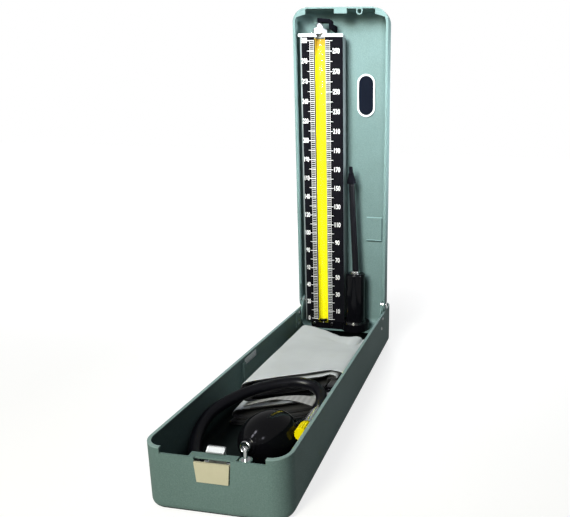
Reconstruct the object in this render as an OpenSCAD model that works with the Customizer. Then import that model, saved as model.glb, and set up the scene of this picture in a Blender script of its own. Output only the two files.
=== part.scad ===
// Desk mercury sphygmomanometer, standing open: the lid is upright and carries the manometer.
// The origin is at the middle of the underside of the base, +Y is the hinge end and +Z is up.

/* [Case] */
// Length of the closed case
case_l = 334; // [325:1:350]
// Width of the case
case_w = 96; // [96:1:104]
// Height of the base from its underside to its rim
base_h = 45; // [44:1:52]
// Thickness of the case walls
wall = 1.4; // [1.2:0.1:1.6]
// Outer radius of the upright corners
corner_r = 13; // [10:1:13]
// Radius of the bottom edge of the base
base_edge_r = 6; // [3:0.5:8]
// Width of the hem folded in along the rims
hem_w = 2.4; // [2:0.1:2.8]
// Width of the lowered middle of the front rim
front_drop_w = 69; // [60:1:70]
// How far the front rim is lowered
front_drop = 4; // [3.5:0.5:5]

/* [Lid] */
// Depth of the lid from its rim to its back
lid_depth = 25; // [24:0.5:28]
// Radius of the back edges of the lid
lid_edge_r = 12; // [6:0.5:12]
// Gap between the closed lid and the lowered front rim
rim_gap = 0.3; // [0.2:0.1:0.6]
// Side clearance of the lid's tail inside the base
tail_gap = 0.4; // [0.3:0.1:0.5]
// Wall thickness of the lid's tail
tail_wall = 1.2; // [1:0.1:1.2]

/* [Hinge] */
// Distance of the hinge axis from the rear of the base
hinge_in = 35; // [34:0.5:37]
// Height of the hinge axis above the rim of the base
hinge_up = 7; // [6.8:0.1:7.5]
// How far the tail of the lid reaches behind the hinge axis
tail_reach = 31.8; // [30:0.1:31.8]
// Diameter of the hinge pins
hinge_pin_d = 4; // [3:0.5:4]
// Radial running clearance of the pins
pin_play = 0.05; // [0.03:0.01:0.1]
// Thickness of the hinge brackets
bracket_t = 1; // [0.8:0.1:1]
// Gap between the hinge arm and the tail of the lid
arm_gap = 0.2; // [0.2:0.1:0.4]
// Diameter of the rivet heads on the brackets
rivet_head_d = 5.2; // [4:0.2:5.6]
// Diameter of the rivet shanks
rivet_d = 3; // [2:0.5:3]

/* [Latch] */
// Width of the latch plate at its top
latch_plate_w = 23; // [18:0.5:24]
// How much narrower the latch plate is at its bottom
latch_taper = 2.4; // [0:0.2:4]
// Height of the latch plate
latch_plate_h = 13.6; // [10:0.2:14]
// Sheet thickness of the latch pieces
latch_t = 1.2; // [1:0.1:1.4]
// Width of the latch hook
hook_w = 11.6; // [9:0.2:13]
// Number of ribs on the hook
hook_ribs = 9; // [5:1:12]
// Diameter of the latch pin
latch_pin_d = 2.5; // [2:0.5:3]
// Wire diameter of the latch spring
spring_wire = 0.8; // [0.6:0.1:0.9]
// Turns of the latch spring
spring_turns = 5; // [3:1:6]
// Height of the guide post above the lowered rim
post_h = 8.4; // [6:0.2:9]

/* [Manometer] */
// Distance from the lid's rim plane back to the scale plate
plate_back = 5.5; // [5:0.1:6.5]
// Width of the scale plate
plate_w = 44; // [42:0.5:44]
// Distance of the scale plate from the left side of the lid
plate_in = 5.4; // [5.4:0.1:7]
// Sheet thickness of the scale plate
plate_t = 1; // [0.8:0.1:1.2]
// Width of the bare metal margin left of the black face
face_margin = 1.4; // [0.5:0.1:3]
// Width of the yellow trough behind the tube
trough_w = 11; // [10:0.5:12]
// Depth of the yellow trough
trough_depth = 6.4; // [6:0.2:8]
// Height of 300 mm of mercury on the scale
scale_h = 291; // [285:1:295]
// Height of the zero mark above the foot block
zero_up = 2.6; // [2:0.2:4]
// Outer diameter of the glass tube
tube_d = 7.4; // [6:0.2:8]
// Bore of the glass tube
tube_bore = 3.4; // [3:0.1:4]
// Diameter of the reservoir
reservoir_d = 20.6; // [18:0.2:21]
// Height of the reservoir above the foot block
reservoir_h = 54; // [45:1:60]
// Distance from the scale plate to the reservoir
reservoir_gap = 2.1; // [1.5:0.1:3]
// Diameter of the round cup of the foot block
cup_d = 31; // [28:0.5:31]
// Thickness of the foot block
foot_h = 6.8; // [6.4:0.2:7.4]
// Outer diameter of the gauge hose
gauge_hose_d = 7; // [6:0.2:8]
// Length of the gauge hose
gauge_hose_l = 94; // [60:1:100]
// Lean of the gauge hose towards the scale plate, in degrees
gauge_lean = 2.7; // [0:0.1:2.8]

/* [Lid trim] */
// Width of the stadium badge
badge_w = 18.7; // [14:0.1:20]
// Height of the stadium badge
badge_h = 42.3; // [30:0.1:46]
// Width of the badge's bright border
badge_border = 1.7; // [1:0.1:2.5]
// Width of the raised pad
pad_w = 17.4; // [12:0.1:18]
// Height of the raised pad
pad_h = 26.5; // [18:0.1:30]

/* [Cuff and bulb] */
// Thickness of one folded layer of the cuff
cuff_layer = 7.6; // [6:0.2:7.6]
// Gap between the folded cuff and each side wall
cuff_gap = 3.6; // [3.6:0.1:8]
// Thickness of the bladder in its fold
bladder_t = 3.4; // [2.4:0.2:3.8]
// Diameter of the bulb
bulb_d = 40; // [36:0.5:40]
// Length of the bulb
bulb_l = 52; // [46:1:54]
// Diameter of the bulb hose
hose_d = 9; // [8:0.5:9]
// Diameter of the knob of the release screw
knob_d = 10; // [8:0.5:10]

/* [Hidden] */
$fn = 48;

// Colours
paint = "#7f9a93";
bare_metal = "#d8d4b4";
nickel = "#d5d8da";
steel = "#b9bec2";
aluminium = "#c9ced2";
black_paint = "#23262a";
rubber_black = "#1c1c1e";
yellow = "#fff23a";
cloth = "#c4ccd2";

// Places of the case
half_w = case_w / 2;
half_l = case_l / 2;
inner_w = half_w - wall;
inner_l = half_l - wall;
low_rim = base_h - front_drop;
hem_in = wall / 2;
tiny = 0.01;
far = 400;

// Places of the open lid
hinge_y = half_l - hinge_in;
hinge_z = base_h + hinge_up;
rim_y = hinge_y - hinge_up;
back_y = rim_y + lid_depth;
floor_y = back_y - wall;
lid_top = hinge_z + hinge_y + half_l;
lid_end = hinge_z - tail_reach;
tail_half = inner_w - tail_gap;
knuckle_r = hinge_up - 0.2;
tail_top = hinge_z + 20;
tongue_w = front_drop_w - 1;
tongue_out = front_drop - rim_gap;
hem_low = hinge_z + 20;
flange_x = front_drop_w / 2 + 0.5;
flange_t = 1.2;
flange_side = 9;
flange_end = 5.5;

// Places of the hinge
arm_out = tail_half - tail_wall - arm_gap;
arm_in = arm_out - bracket_t;
ear_r = 5;
washer_r = 4;
pin_head_r = 3.5;
pin_head_t = 0.8;
bracket_front = rim_y - 17;
bracket_rear = rim_y - 0.8;
bracket_low = base_h - 19;
bracket_top = base_h - 1;
joggle_l = 3;
rivet_head_t = 1;
rivet_high = [bracket_rear - joggle_l - rivet_head_d / 2 - 0.4, base_h - 4.6];
rivet_low = [rivet_high[0] - 5.6, base_h - 14];

// Places of the latch
front_y = -half_l;
front_in = front_y + wall;
plate_top_z = low_rim - 2.4;
plate_low_z = plate_top_z - latch_plate_h;
shelf_left = -16;
shelf_right = 15;
shelf_rear = front_in + 5;
shelf_z = low_rim - latch_t;
latch_pin_y = front_in + 3.2;
latch_pin_z = plate_low_z + 2.8;
plate_y = front_y + 0.2;
ear_x = 9;
hook_front = shelf_rear + 0.3;
hook_rear = hook_front + latch_t;
hook_top = low_rim + 4.4;
hook_nose = 2.6;
nose_low = low_rim + 1.5;
nose_tip = low_rim + 2.2;
hook_foot = latch_pin_z + 3.2;
barrel_r = latch_pin_d / 2 + 0.9;
spring_r = latch_pin_d / 2 + 0.3 + spring_wire / 2;
spring_pitch = spring_wire + 0.1;
spring_steps = 8;
spring_len = spring_pitch * spring_turns;
spring_end_x = ear_x - latch_t - 0.3 - spring_wire / 2;
spring_x = spring_end_x - spring_len;
barrel_half = spring_x - spring_wire / 2 - 0.3;
wall_leg_y = front_in + 0.1 + spring_wire / 2;
plate_leg_y = plate_y + 0.1 + spring_wire / 2;
catch_x = 1.4;
catch_w = 12.6;
catch_reach = 4.4;
catch_t = 0.9;
catch_y = rim_y - tongue_out + 0.1;
post_x = 20.2;
post_y = front_in + 2.4;
post_r = 1.3;
knob_r = 1.8;
lug_r = 4;
post_flange_t = rim_gap - 0.1;
eye_bore = 2.1;
eye_r = 3.1;
eye_y = catch_y + 0.3;
eye_z = hinge_z + hinge_y - post_y;

// Places of the manometer
face_y = rim_y + plate_back;
plate_left = plate_in - half_w;
plate_right = plate_left + plate_w;
tube_x = plate_left + 20.15;
tube_y = face_y + 1.2;
end_in = lid_end + wall;
foot_gap = 0.1;
foot_z = end_in + foot_gap;
foot_top = foot_z + foot_h;
zero_z = foot_top + zero_up;
plate_low = foot_top + 0.2;
plate_high = zero_z + scale_h + 3.6;
face_t = 0.3;
slot_w = trough_w + 0.2;
trough_low = plate_low + 0.9;
slot_high = plate_high - plate_t - 0.2;
rail_t = 2.6;
rail_front = face_y - 1.2;
rail_depth = 10;
rail_left = plate_left - 1.6;
rail_right = plate_right;
rail_top = plate_high + rail_t;
tab_mid = [plate_left + 11, plate_right - 11];
tab_w = 7;
top_flange = 8;
seal_h = 2.4;
seal_r = 5.5;
seal_z = foot_top - 2.3;
tube_top = rail_top + 3;
nut_r = 7.2;
nut_h = 4.6;
cap_r = 4;
cap_h = 5.8;
clip_z = rail_top + nut_h + cap_h;
reservoir_r = reservoir_d / 2;
reservoir_x = plate_right + reservoir_gap + reservoir_r;
reservoir_y = rim_y + 8.5;
reservoir_wall = 0.9;
cup_top = foot_top + 1.6;
cup_floor = foot_z + 1.1;
cup_room_r = reservoir_r - 0.2;
reservoir_z = foot_top - 0.4;
reservoir_top = foot_top + reservoir_h;
duct_z = foot_z + 2.6;
duct_r = 1.5;
foot_screw_z = foot_top - 1.5;
foot_screws_at = [plate_left + 11, tube_x + 11];
cap_rise = 3;
cap_round = 2;
nipple_z = reservoir_top + cap_rise;
nipple_h = 2.6;
hose_foot = nipple_z + nipple_h + 0.2;
barb_r = 2;
gauge_bore = 2.1;

// Places of the trim on the lid
badge_at = [half_w - 26.7, 0, hinge_z + 0.7345 * (lid_top - hinge_z)];
pad_at = [half_w - 16.6, 0, hinge_z + 0.2689 * (lid_top - hinge_z)];

// Places of the cuff: layers lie on each other with a slit between them
soft_gap = 0.4;
slit = 1;
cuff_low = wall + soft_gap;
layer_2 = cuff_low + cuff_layer + slit;
bladder_z = layer_2 + cuff_layer + soft_gap;
layer_3 = bladder_z + bladder_t + soft_gap;
layer_4 = layer_3 + cuff_layer + slit;
fold_r = (2 * cuff_layer + slit) / 2;
back_fold_r = (2 * cuff_layer + bladder_t + 2 * soft_gap) / 2;
cuff_w = 2 * (inner_w - cuff_gap);
cuff_side = cuff_w / 2;
stow_y = 167 - half_l;
cuff_rear = hinge_y - 55;
cuff_front = stow_y - 62;
top_rear = cuff_rear + 22;
droop_y = cuff_rear - 15;
droop = 8;
top_edge = [[11.5 - cuff_side, stow_y - 57], [cuff_side - 13, stow_y - 18], [cuff_side - 5, stow_y + 15],
    [cuff_side, cuff_rear - 9], [cuff_side - 4, cuff_rear + 2], [4 - cuff_side, top_rear],
    [12 - cuff_side, stow_y]];
low_edge = [[-cuff_side, stow_y - 62], [33 - cuff_side, stow_y - 54], [cuff_side - 23, stow_y - 35],
    [cuff_side - 11, stow_y - 23], [cuff_side, stow_y - 23], [cuff_side, far], [-cuff_side, far]];
bladder_edge = [[9 - cuff_side, stow_y - 56], [31 - cuff_side, stow_y - 50], [cuff_side - 27, stow_y - 33],
    [cuff_side - 15, stow_y - 23.4], [cuff_side + 1, stow_y - 23.4], [cuff_side + 1, cuff_rear - 7],
    [9 - cuff_side, cuff_rear - 7]];
nipple_at = [cuff_side - 5, stow_y - 23.4, bladder_z + bladder_t / 2];

// Places of the bulb: it lies on the floor with its front end tipped up
bulb_mid = [inner_w - 35.6, stow_y - 107, wall + soft_gap + 0.52 * bulb_d];
bulb_tip = 15;
bulb_turn = -12;
knob_x = inner_w - 11;
knob_z = 29;
knob_l = 12;
knob_front = stow_y - 110;
knob_ribs = 16;
seat_y = knob_front + knob_l + 1.5;
valve_y = stow_y - 84;
barb_y = stow_y - 72;

// Route of the bulb hose: from the valve barb over the cuff's front folds, down the left wall,
// along the front and back along the right wall to the bladder
route_dots = [[35.6, -72, 29], [35.6, -66, 29], [35, -59, 29.8], [32.5, -51.5, 31.5], [27, -45, 33.5],
    [18, -41.5, 35.2], [7, -43, 36], [-4, -49, 36], [-15, -57.5, 35.8], [-25.5, -67.5, 34.5], [-34, -79, 32.3],
    [-40.5, -92, 29.5], [-41.8, -103, 26], [-40.5, -114, 22], [-36, -126, 18], [-29, -137, 14],
    [-19, -146, 10.5], [-6, -152, 8], [8, -154, 6.5], [21, -152, 6.3], [32, -145.5, 6.3],
    [39, -135, 6.3], [41.6, -121, 6.3], [41.6, -106, 6.3], [41.6, -92, 6.5], [41.4, -79, 8],
    [40.8, -67, 10.8], [39.8, -56, 14.8], [38.6, -47, 18.6], [38, -40, 20.1], [38, -33.4, 20.1]];
route_side = (inner_w - hose_d / 2) / 42.1;
hose_route = [for (p = route_dots) [p[0] * route_side, p[1] + stow_y, p[2]]];

// ---------- shared forms ----------

// Section of a pan from its middle to one side, with a rounded back edge
module pan_section(half, edge, depth) {
    square([half, depth - edge]);
    square([half - edge, depth]);
    translate([half - edge, depth - edge]) intersection() {
        circle(edge);
        square(edge);
    }
}

// Straight run of a pan along Y, with both side walls
module pan_run(half, run, edge, depth) {
    rotate([90, 0, 0]) linear_extrude(run, center = true) {
        pan_section(half, edge, depth);
        mirror([1, 0]) pan_section(half, edge, depth);
    }
}

// Solid pan with round corners; its open side is at z = 0 and its rounded back at z = depth
module pan(w, l, depth, r, edge) {
    e = min(edge, r - 0.4);
    pan_run(w / 2, l - 2 * r, e, depth);
    rotate([0, 0, 90]) pan_run(l / 2, w - 2 * r, e, depth);
    for (i = [0:3]) let (sx = i == 0 || i == 3 ? 1 : -1, sy = i < 2 ? 1 : -1)
        translate([sx * (w / 2 - r), sy * (l / 2 - r), 0]) rotate([0, 0, 90 * i])
            rotate_extrude(angle = 90) pan_section(r, e, depth);
}

// Plate with round corners
module round_plate(w, l, r) {
    square([w - 2 * r, l], center = true);
    square([w, l - 2 * r], center = true);
    for (sx = [-1, 1], sy = [-1, 1]) translate([sx * (w / 2 - r), sy * (l / 2 - r)]) circle(r);
}

// Hem along the rim of a pan, from inside its wall to its own inner edge
module hem_ring(w, l, r) {
    linear_extrude(hem_w) difference() {
        round_plate(w - 2 * hem_in, l - 2 * hem_in, r - hem_in);
        round_plate(w - 2 * hem_w, l - 2 * hem_w, r - hem_w);
    }
}

// Pan of the lid, standing upright between two heights
module lid_pan(half, low, high, front, back, r, edge) {
    translate([0, front, (low + high) / 2])
        rotate([-90, 0, 0]) pan(2 * half, high - low, back - front, r, edge);
}

// Outline in the Y-Z plane, extruded along X from one place to another
module along_x(x0, x1) {
    translate([x0, 0, 0]) rotate([90, 0, 90]) linear_extrude(x1 - x0) children();
}

// Cylinder along X
module rod_x(x0, x1, y, z, r) {
    translate([x0, y, z]) rotate([0, 90, 0]) cylinder(r = r, h = x1 - x0);
}

// Cylinder along Y
module rod_y(x, y0, y1, z, r) {
    translate([x, y0, z]) rotate([-90, 0, 0]) cylinder(r = r, h = y1 - y0);
}

// Cylinder from one point to another
module rod_between(a, b, r) {
    d = b - a;
    translate(a) rotate([0, acos(d[2] / norm(d)), atan2(d[1], d[0])]) cylinder(r = r, h = norm(d));
}

// Box from one corner to the opposite one
module block(from, to) {
    translate(from) cube(to - from);
}

// Stadium outline
module stadium(w, h) {
    for (s = [-1, 1]) translate([0, s * (h - w) / 2]) circle(w / 2);
    square([w, h - w], center = true);
}

// Vectors for the sweeps
function unit(v) = v / norm(v);
function heading(p, i) = unit(p[min(i + 1, len(p) - 1)] - p[max(i - 1, 0)]);
function carry(n, t) = unit(n - t * (n * t));
function side_rows(p, i, n) = i == len(p) ? [] :
    let (m = carry(n, heading(p, i))) concat([m], side_rows(p, i + 1, m));

// Round tube along a list of points, as one closed mesh
module sweep(p, r, sides) {
    rows = side_rows(p, 0, [0.31, 0.17, 0.93]);
    dots = [for (i = [0:len(p) - 1]) let (t = heading(p, i), n = rows[i], b = cross(t, n))
        for (k = [0:sides - 1]) p[i] + r * (n * cos(360 * k / sides) + b * sin(360 * k / sides))];
    walls = [for (i = [0:len(p) - 2], k = [0:sides - 1]) let (k2 = (k + 1) % sides)
        each [[i * sides + k, i * sides + k2, (i + 1) * sides + k2],
            [i * sides + k, (i + 1) * sides + k2, (i + 1) * sides + k]]];
    first = [[for (k = [sides - 1:-1:0]) k]];
    last = [[for (k = [0:sides - 1]) (len(p) - 1) * sides + k]];
    polyhedron(points = dots, faces = concat([for (f = walls) [f[2], f[1], f[0]]],
        [for (f = first) [for (k = [len(f) - 1:-1:0]) f[k]]], [for (f = last) [for (k = [len(f) - 1:-1:0]) f[k]]]));
}

// ---------- base ----------

// Trapezoid of the latch plate
module latch_outline() {
    top = latch_plate_w / 2;
    low = (latch_plate_w - latch_taper) / 2;
    polygon([[-top, plate_top_z], [top, plate_top_z], [low, plate_low_z], [-low, plate_low_z]]);
}

module base_shell() color(paint) {
    window = latch_plate_w / 2 + 0.4;
    difference() {
        union() {
            difference() {
                translate([0, 0, base_h]) rotate([180, 0, 0])
                    pan(case_w, case_l, base_h, corner_r, base_edge_r);
                translate([0, 0, base_h + 1]) rotate([180, 0, 0])
                    pan(case_w - 2 * wall, case_l - 2 * wall, base_h + 1 - wall,
                        corner_r - wall, base_edge_r - wall);
            }
            intersection() {
                translate([post_x, post_y, shelf_z]) cylinder(r = lug_r, h = latch_t);
                block([0, front_y + wall / 2, 0], [half_w, 0, base_h]);
            }
            intersection() {
                translate([0, 0, base_h - hem_w]) hem_ring(case_w, case_l, corner_r);
                block([-half_w, -half_l, 0], [half_w, bracket_front - 2, base_h]);
            }
        }
        block([-front_drop_w / 2, front_y - 1, low_rim], [front_drop_w / 2, front_in + 2.6, base_h + 1]);
        translate([0, front_in + 0.2, 0]) rotate([90, 0, 0]) linear_extrude(wall + 2)
            polygon([[-window, base_h + 1], [window, base_h + 1], [window, plate_top_z],
                [window - latch_taper / 2, plate_low_z - 0.4], [latch_taper / 2 - window, plate_low_z - 0.4],
                [-window, plate_top_z]]);
        for (s = [-1, 1], at = [rivet_high, rivet_low])
            rod_x(s * half_w - 3, s * half_w + 3, at[0], at[1], rivet_d / 2 + 0.05);
        translate([post_x, post_y, shelf_z - 1]) cylinder(r = post_r, h = far);
    }
}

// Bracket on one side: a foot riveted to the wall and an arm that reaches up to the hinge axis
module hinge_bracket() color(steel) difference() {
    union() {
        along_x(inner_w - bracket_t, inner_w) translate([bracket_front, bracket_low])
            square([bracket_rear - bracket_front, bracket_top - bracket_low]);
        along_x(arm_in, inner_w) translate([bracket_rear - joggle_l, bracket_low + 6])
            square([joggle_l, bracket_top - bracket_low - 6]);
        along_x(arm_in, arm_out) {
            translate([hinge_y, hinge_z]) circle(ear_r);
            polygon([[bracket_rear - joggle_l, bracket_low + 6], [bracket_rear, bracket_low + 6],
                [hinge_y + 3.6, hinge_z - 3.5], [hinge_y - 3.4, hinge_z + 3.6],
                [bracket_rear - joggle_l, bracket_top]]);
        }
    }
    rod_x(0, half_w, hinge_y, hinge_z, hinge_pin_d / 2 + pin_play);
    for (at = [rivet_high, rivet_low]) rod_x(0, half_w, at[0], at[1], rivet_d / 2 + 0.05);
}

module hinge_bracket_left() mirror([1, 0, 0]) hinge_bracket();

module hinge_bracket_right() hinge_bracket();

module hinge_pins() color(nickel) for (s = [0, 1]) mirror([s, 0, 0]) {
    rod_x(arm_in, half_w + 0.1, hinge_y, hinge_z, hinge_pin_d / 2);
    rod_x(arm_in - pin_head_t, arm_in, hinge_y, hinge_z, pin_head_r);
    rod_x(half_w + 0.1, half_w + 0.1 + pin_head_t, hinge_y, hinge_z, pin_head_r);
}

module hinge_washers() color(nickel) for (s = [0, 1]) mirror([s, 0, 0]) difference() {
    rod_x(arm_out, inner_w - 0.1, hinge_y, hinge_z, washer_r);
    rod_x(0, half_w, hinge_y, hinge_z, hinge_pin_d / 2 + pin_play);
}

module bracket_rivets() color(nickel)
    for (s = [0, 1], at = [rivet_high, rivet_low]) mirror([s, 0, 0]) {
        rod_x(inner_w - bracket_t, half_w, at[0], at[1], rivet_d / 2);
        rod_x(inner_w - bracket_t - rivet_head_t, inner_w - bracket_t, at[0], at[1], rivet_head_d / 2);
    }

// Shelf level with the lowered rim, with a cheek on each side that carries the latch pin
module latch_bracket() color(paint) difference() {
    union() {
        block([shelf_left, front_in, shelf_z], [shelf_right, shelf_rear, low_rim]);
        for (x = [shelf_left, shelf_right - latch_t])
            block([x, front_in, plate_low_z - 1], [x + latch_t, shelf_rear, shelf_z]);
    }
    rod_x(shelf_left - 1, shelf_right + 1, latch_pin_y, latch_pin_z, latch_pin_d / 2 + 0.02);
}

// Plate that is pressed, with two ears that turn on the pin and carry the hook
module latch_plate() color(bare_metal) difference() {
    union() {
        translate([0, plate_y, 0]) rotate([90, 0, 0]) linear_extrude(latch_t) latch_outline();
        for (x = [-ear_x, ear_x - latch_t]) {
            rod_x(x, x + latch_t, latch_pin_y, latch_pin_z, 2.2);
            along_x(x, x + latch_t) polygon([[plate_y - tiny, latch_pin_z - 2.2],
                [latch_pin_y, latch_pin_z - 2.2], [hook_front, hook_foot], [hook_front, hook_foot + 3.5],
                [plate_y - tiny, latch_pin_z + 2.2]]);
        }
    }
    rod_x(-ear_x - 1, ear_x + 1, latch_pin_y, latch_pin_z, latch_pin_d / 2 + pin_play);
}

// Hook that stands behind the shelf: its ribbed nose slopes down to the front, so that the lid's
// catch pushes it back on the way down and then lies under it
module latch_hook() color(nickel) {
    pitch = hook_w / (hook_ribs + 1);
    side = hook_w / 2;
    along_x(-side, side) polygon([[hook_front, hook_foot], [hook_rear, hook_foot], [hook_rear, hook_top],
        [hook_front, hook_top], [hook_front - hook_nose, nose_tip], [hook_front - hook_nose, nose_low],
        [hook_front, nose_low]]);
    block([-ear_x, hook_front, hook_foot], [ear_x, hook_rear, hook_foot + 3.5]);
    for (i = [1:hook_ribs]) along_x(-side + (i - 0.25) * pitch, -side + (i + 0.25) * pitch)
        polygon([[hook_rear - 0.1, hook_top], [hook_front, hook_top], [hook_front - hook_nose, nose_tip],
            [hook_front - hook_nose, nose_tip + 0.4], [hook_front, hook_top + 0.4],
            [hook_rear - 0.1, hook_top + 0.4]]);
    difference() {
        union() {
            rod_x(-barrel_half, barrel_half, latch_pin_y, latch_pin_z, barrel_r);
            along_x(-barrel_half, barrel_half) polygon([[latch_pin_y, latch_pin_z - 1],
                [latch_pin_y + barrel_r, latch_pin_z], [hook_rear, hook_foot + 0.1],
                [hook_front, hook_foot + 0.1], [latch_pin_y, latch_pin_z + barrel_r]]);
        }
        rod_x(-side, side, latch_pin_y, latch_pin_z, latch_pin_d / 2 + pin_play);
    }
}

module latch_pin() color(steel) {
    rod_x(shelf_left - 0.6, shelf_right + 0.6, latch_pin_y, latch_pin_z, latch_pin_d / 2);
    for (x = [shelf_left - 1.2, shelf_right]) rod_x(x, x + 1.2, latch_pin_y, latch_pin_z, latch_pin_d / 2 + 0.7);
}

// Torsion spring on the pin: its turns wind between the barrel and an ear. One leg presses on the
// case wall under the window, the other on the back of the latch plate.
function coil_dot(a) = [spring_x + spring_pitch * a / 360, latch_pin_y - spring_r * cos(a),
    latch_pin_z + spring_r * sin(a)];
spring_path = concat([[spring_x, wall_leg_y, latch_pin_z - 6.2], [spring_x, wall_leg_y, latch_pin_z - 3.6]],
    [for (i = [0:spring_steps * spring_turns]) coil_dot(360 * i / spring_steps)],
    [[spring_end_x, plate_leg_y, latch_pin_z + 3.2], [spring_end_x, plate_leg_y, latch_pin_z + 7.4]]);

module latch_spring() color(steel) sweep(spring_path, spring_wire / 2, 6);

// Post with a round knob, riveted into a lug of the lowered rim
module guide_post() color(nickel) translate([post_x, post_y, low_rim]) {
    translate([0, 0, -latch_t - 0.6]) cylinder(r = post_r, h = latch_t + 0.6 + post_h - 2);
    translate([0, 0, -latch_t - 0.6]) cylinder(r = post_r + 0.7, h = 0.6);
    cylinder(r = 3, h = post_flange_t);
    translate([0, 0, post_h - 2.4]) rotate_extrude() polygon([[0, 0], [knob_r - 0.4, 0], [knob_r, 0.5],
        [knob_r, 1.6], [knob_r - 0.6, 2.3], [0, 2.4]]);
}

module wall_clip() color(paint) {
    clip_y = -26;
    block([-inner_w, clip_y, base_h - 30], [-inner_w + 0.8, clip_y + 4, base_h - 5]);
    block([-inner_w, clip_y, base_h - 5.6], [-inner_w + 2.2, clip_y + 4, base_h - 4.8]);
    block([-inner_w + 1.4, clip_y, base_h - 22], [-inner_w + 2.2, clip_y + 4, base_h - 4.8]);
}

module wall_label() color("white")
    block([-inner_w, -20, base_h - 9], [-inner_w + 0.25, 4, base_h - hem_w - 0.3]);

// ---------- cuff, bladder, bulb ----------

// One layer of the folded cuff in the Y-Z plane
module cuff_strip(front, rear, low) {
    translate([front, low]) square([rear - front, cuff_layer]);
}

// Round fold that joins two layers; side is -1 at the front and 1 at the rear
module cuff_fold(y, mid, r, room, side) {
    difference() {
        translate([y, mid]) circle(r);
        translate([side > 0 ? y - far : y, mid - far / 2]) square(far);
        translate([y, mid]) circle(room);
    }
}

module cuff() color(cloth) {
    low_fold = cuff_front + fold_r;
    intersection() {
        along_x(-cuff_side, cuff_side) {
            cuff_strip(low_fold, cuff_rear, cuff_low);
            cuff_strip(low_fold, cuff_rear, layer_2);
            cuff_fold(low_fold, layer_2 - slit / 2, fold_r, slit / 2, -1);
            cuff_strip(low_fold, cuff_rear, layer_3);
            cuff_fold(cuff_rear, bladder_z + bladder_t / 2, back_fold_r, bladder_t / 2 + soft_gap, 1);
        }
        linear_extrude(far) polygon(low_edge);
    }
    intersection() {
        along_x(-cuff_side, cuff_side) polygon([[cuff_front - 30, layer_4], [droop_y, layer_4],
            [top_rear, layer_4 - droop], [top_rear, layer_4 - droop + cuff_layer],
            [droop_y, layer_4 + cuff_layer], [cuff_front - 30, layer_4 + cuff_layer]]);
        linear_extrude(far) polygon(top_edge);
    }
    block([14 - cuff_side, 20, layer_3 + cuff_layer - tiny], [cuff_side - 8, 40, layer_4 + tiny]);
}

module bladder() color(rubber_black) difference() {
    translate([0, 0, bladder_z]) linear_extrude(bladder_t) polygon(bladder_edge);
    translate(nipple_at) rotate([-90, 0, 0]) cylinder(r = 0.9, h = 8);
}

module bladder_nipple() color(rubber_black) difference() {
    translate(nipple_at) rotate([90, 0, 0]) {
        cylinder(r = 3.4, h = 2);
        cylinder(r = 2.4, h = 5);
        translate([0, 0, 5]) cylinder(r = 4.3, h = 5);
    }
    translate(nipple_at) rotate([90, 0, 0]) cylinder(r = 1, h = far);
}

// Half outline of the bulb: an egg shape between its two necks
bulb_neck = 4.5;
function egg(t) = [sqrt(1 - t * t) * (1 - 0.06 * t) * bulb_d / 2, t * bulb_l / 2];
bulb_outline = concat([[0, -bulb_l / 2 * 0.97]],
    [for (i = [0:20]) egg(0.97 * sin(-90 + 9 * i))], [[0, bulb_l / 2 * 0.97]]);

module bulb_frame() translate(bulb_mid) rotate([0, 0, bulb_turn]) rotate([90 - bulb_tip, 0, 0]) children();

module bulb() color(rubber_black) bulb_frame() rotate_extrude($fn = 48) polygon(bulb_outline);

bulb_end = bulb_l / 2 * 0.97;
bulb_axis = [sin(bulb_turn) * cos(bulb_tip), -cos(bulb_turn) * cos(bulb_tip), sin(bulb_tip)];
screw_r = 2;

module inlet_valve() color(nickel) bulb_frame() difference() {
    translate([0, 0, bulb_end]) cylinder(r = 4, h = 3);
    translate([0, 0, bulb_end + 1]) cylinder(r = 1.6, h = 5);
}

// Valve body: a neck on the bulb's rear end, an elbow to the barrel, and in the barrel the seat of
// the release screw in front and the barb for the hose behind
module release_valve() color(nickel) {
    neck_end = bulb_mid - (bulb_end + 8) * bulb_axis;
    barrel_at = [knob_x, valve_y, knob_z];
    riser = barrel_at - neck_end;
    difference() {
        union() {
            bulb_frame() translate([0, 0, -bulb_end - 12]) cylinder(r = 4.6, h = 12);
            rod_between(neck_end, barrel_at - 1.5 * riser / norm(riser), 3);
            rod_y(knob_x, seat_y, barb_y - 6, knob_z, 4.2);
            rod_y(knob_x, barb_y - 7, barb_y, knob_z, 3.4);
        }
        rod_y(knob_x, seat_y - 1, valve_y - 4, knob_z, screw_r + pin_play);
        rod_y(knob_x, valve_y - 6, barb_y + 1, knob_z, 1.2);
    }
}

// Screw that lets the air out, with a knurled knob
module release_screw() color(yellow) {
    rod_y(knob_x, knob_front + knob_l - tiny, valve_y - 4.3, knob_z, screw_r);
    rod_y(knob_x, knob_front, knob_front + knob_l, knob_z, knob_d / 2 - 0.5);
    for (i = [0:knob_ribs - 1]) let (a = 360 * i / knob_ribs)
        rod_y(knob_x + (knob_d / 2 - 0.5) * cos(a), knob_front + 0.8, knob_front + knob_l - 0.8,
            knob_z + (knob_d / 2 - 0.5) * sin(a), 0.5);
}

module bulb_hose() color(rubber_black) sweep(hose_route, hose_d / 2, 10);

// ---------- lid ----------

// Side profile of the full-width part of the lid, rounded around the hinge axis
module lid_profile(front, k) {
    translate([front, hinge_z]) square([back_y - front + 1, lid_top - hinge_z + 1]);
    translate([hinge_y, hinge_z]) circle(k);
    translate([hinge_y, hinge_z - k]) square([back_y - hinge_y + 1, k + tiny]);
}

// Room inside the full-width part of the lid
module lid_room(front) {
    lid_pan(inner_w, hinge_z - 60, lid_top - wall, front, floor_y, corner_r - wall, lid_edge_r - wall);
}

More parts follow.
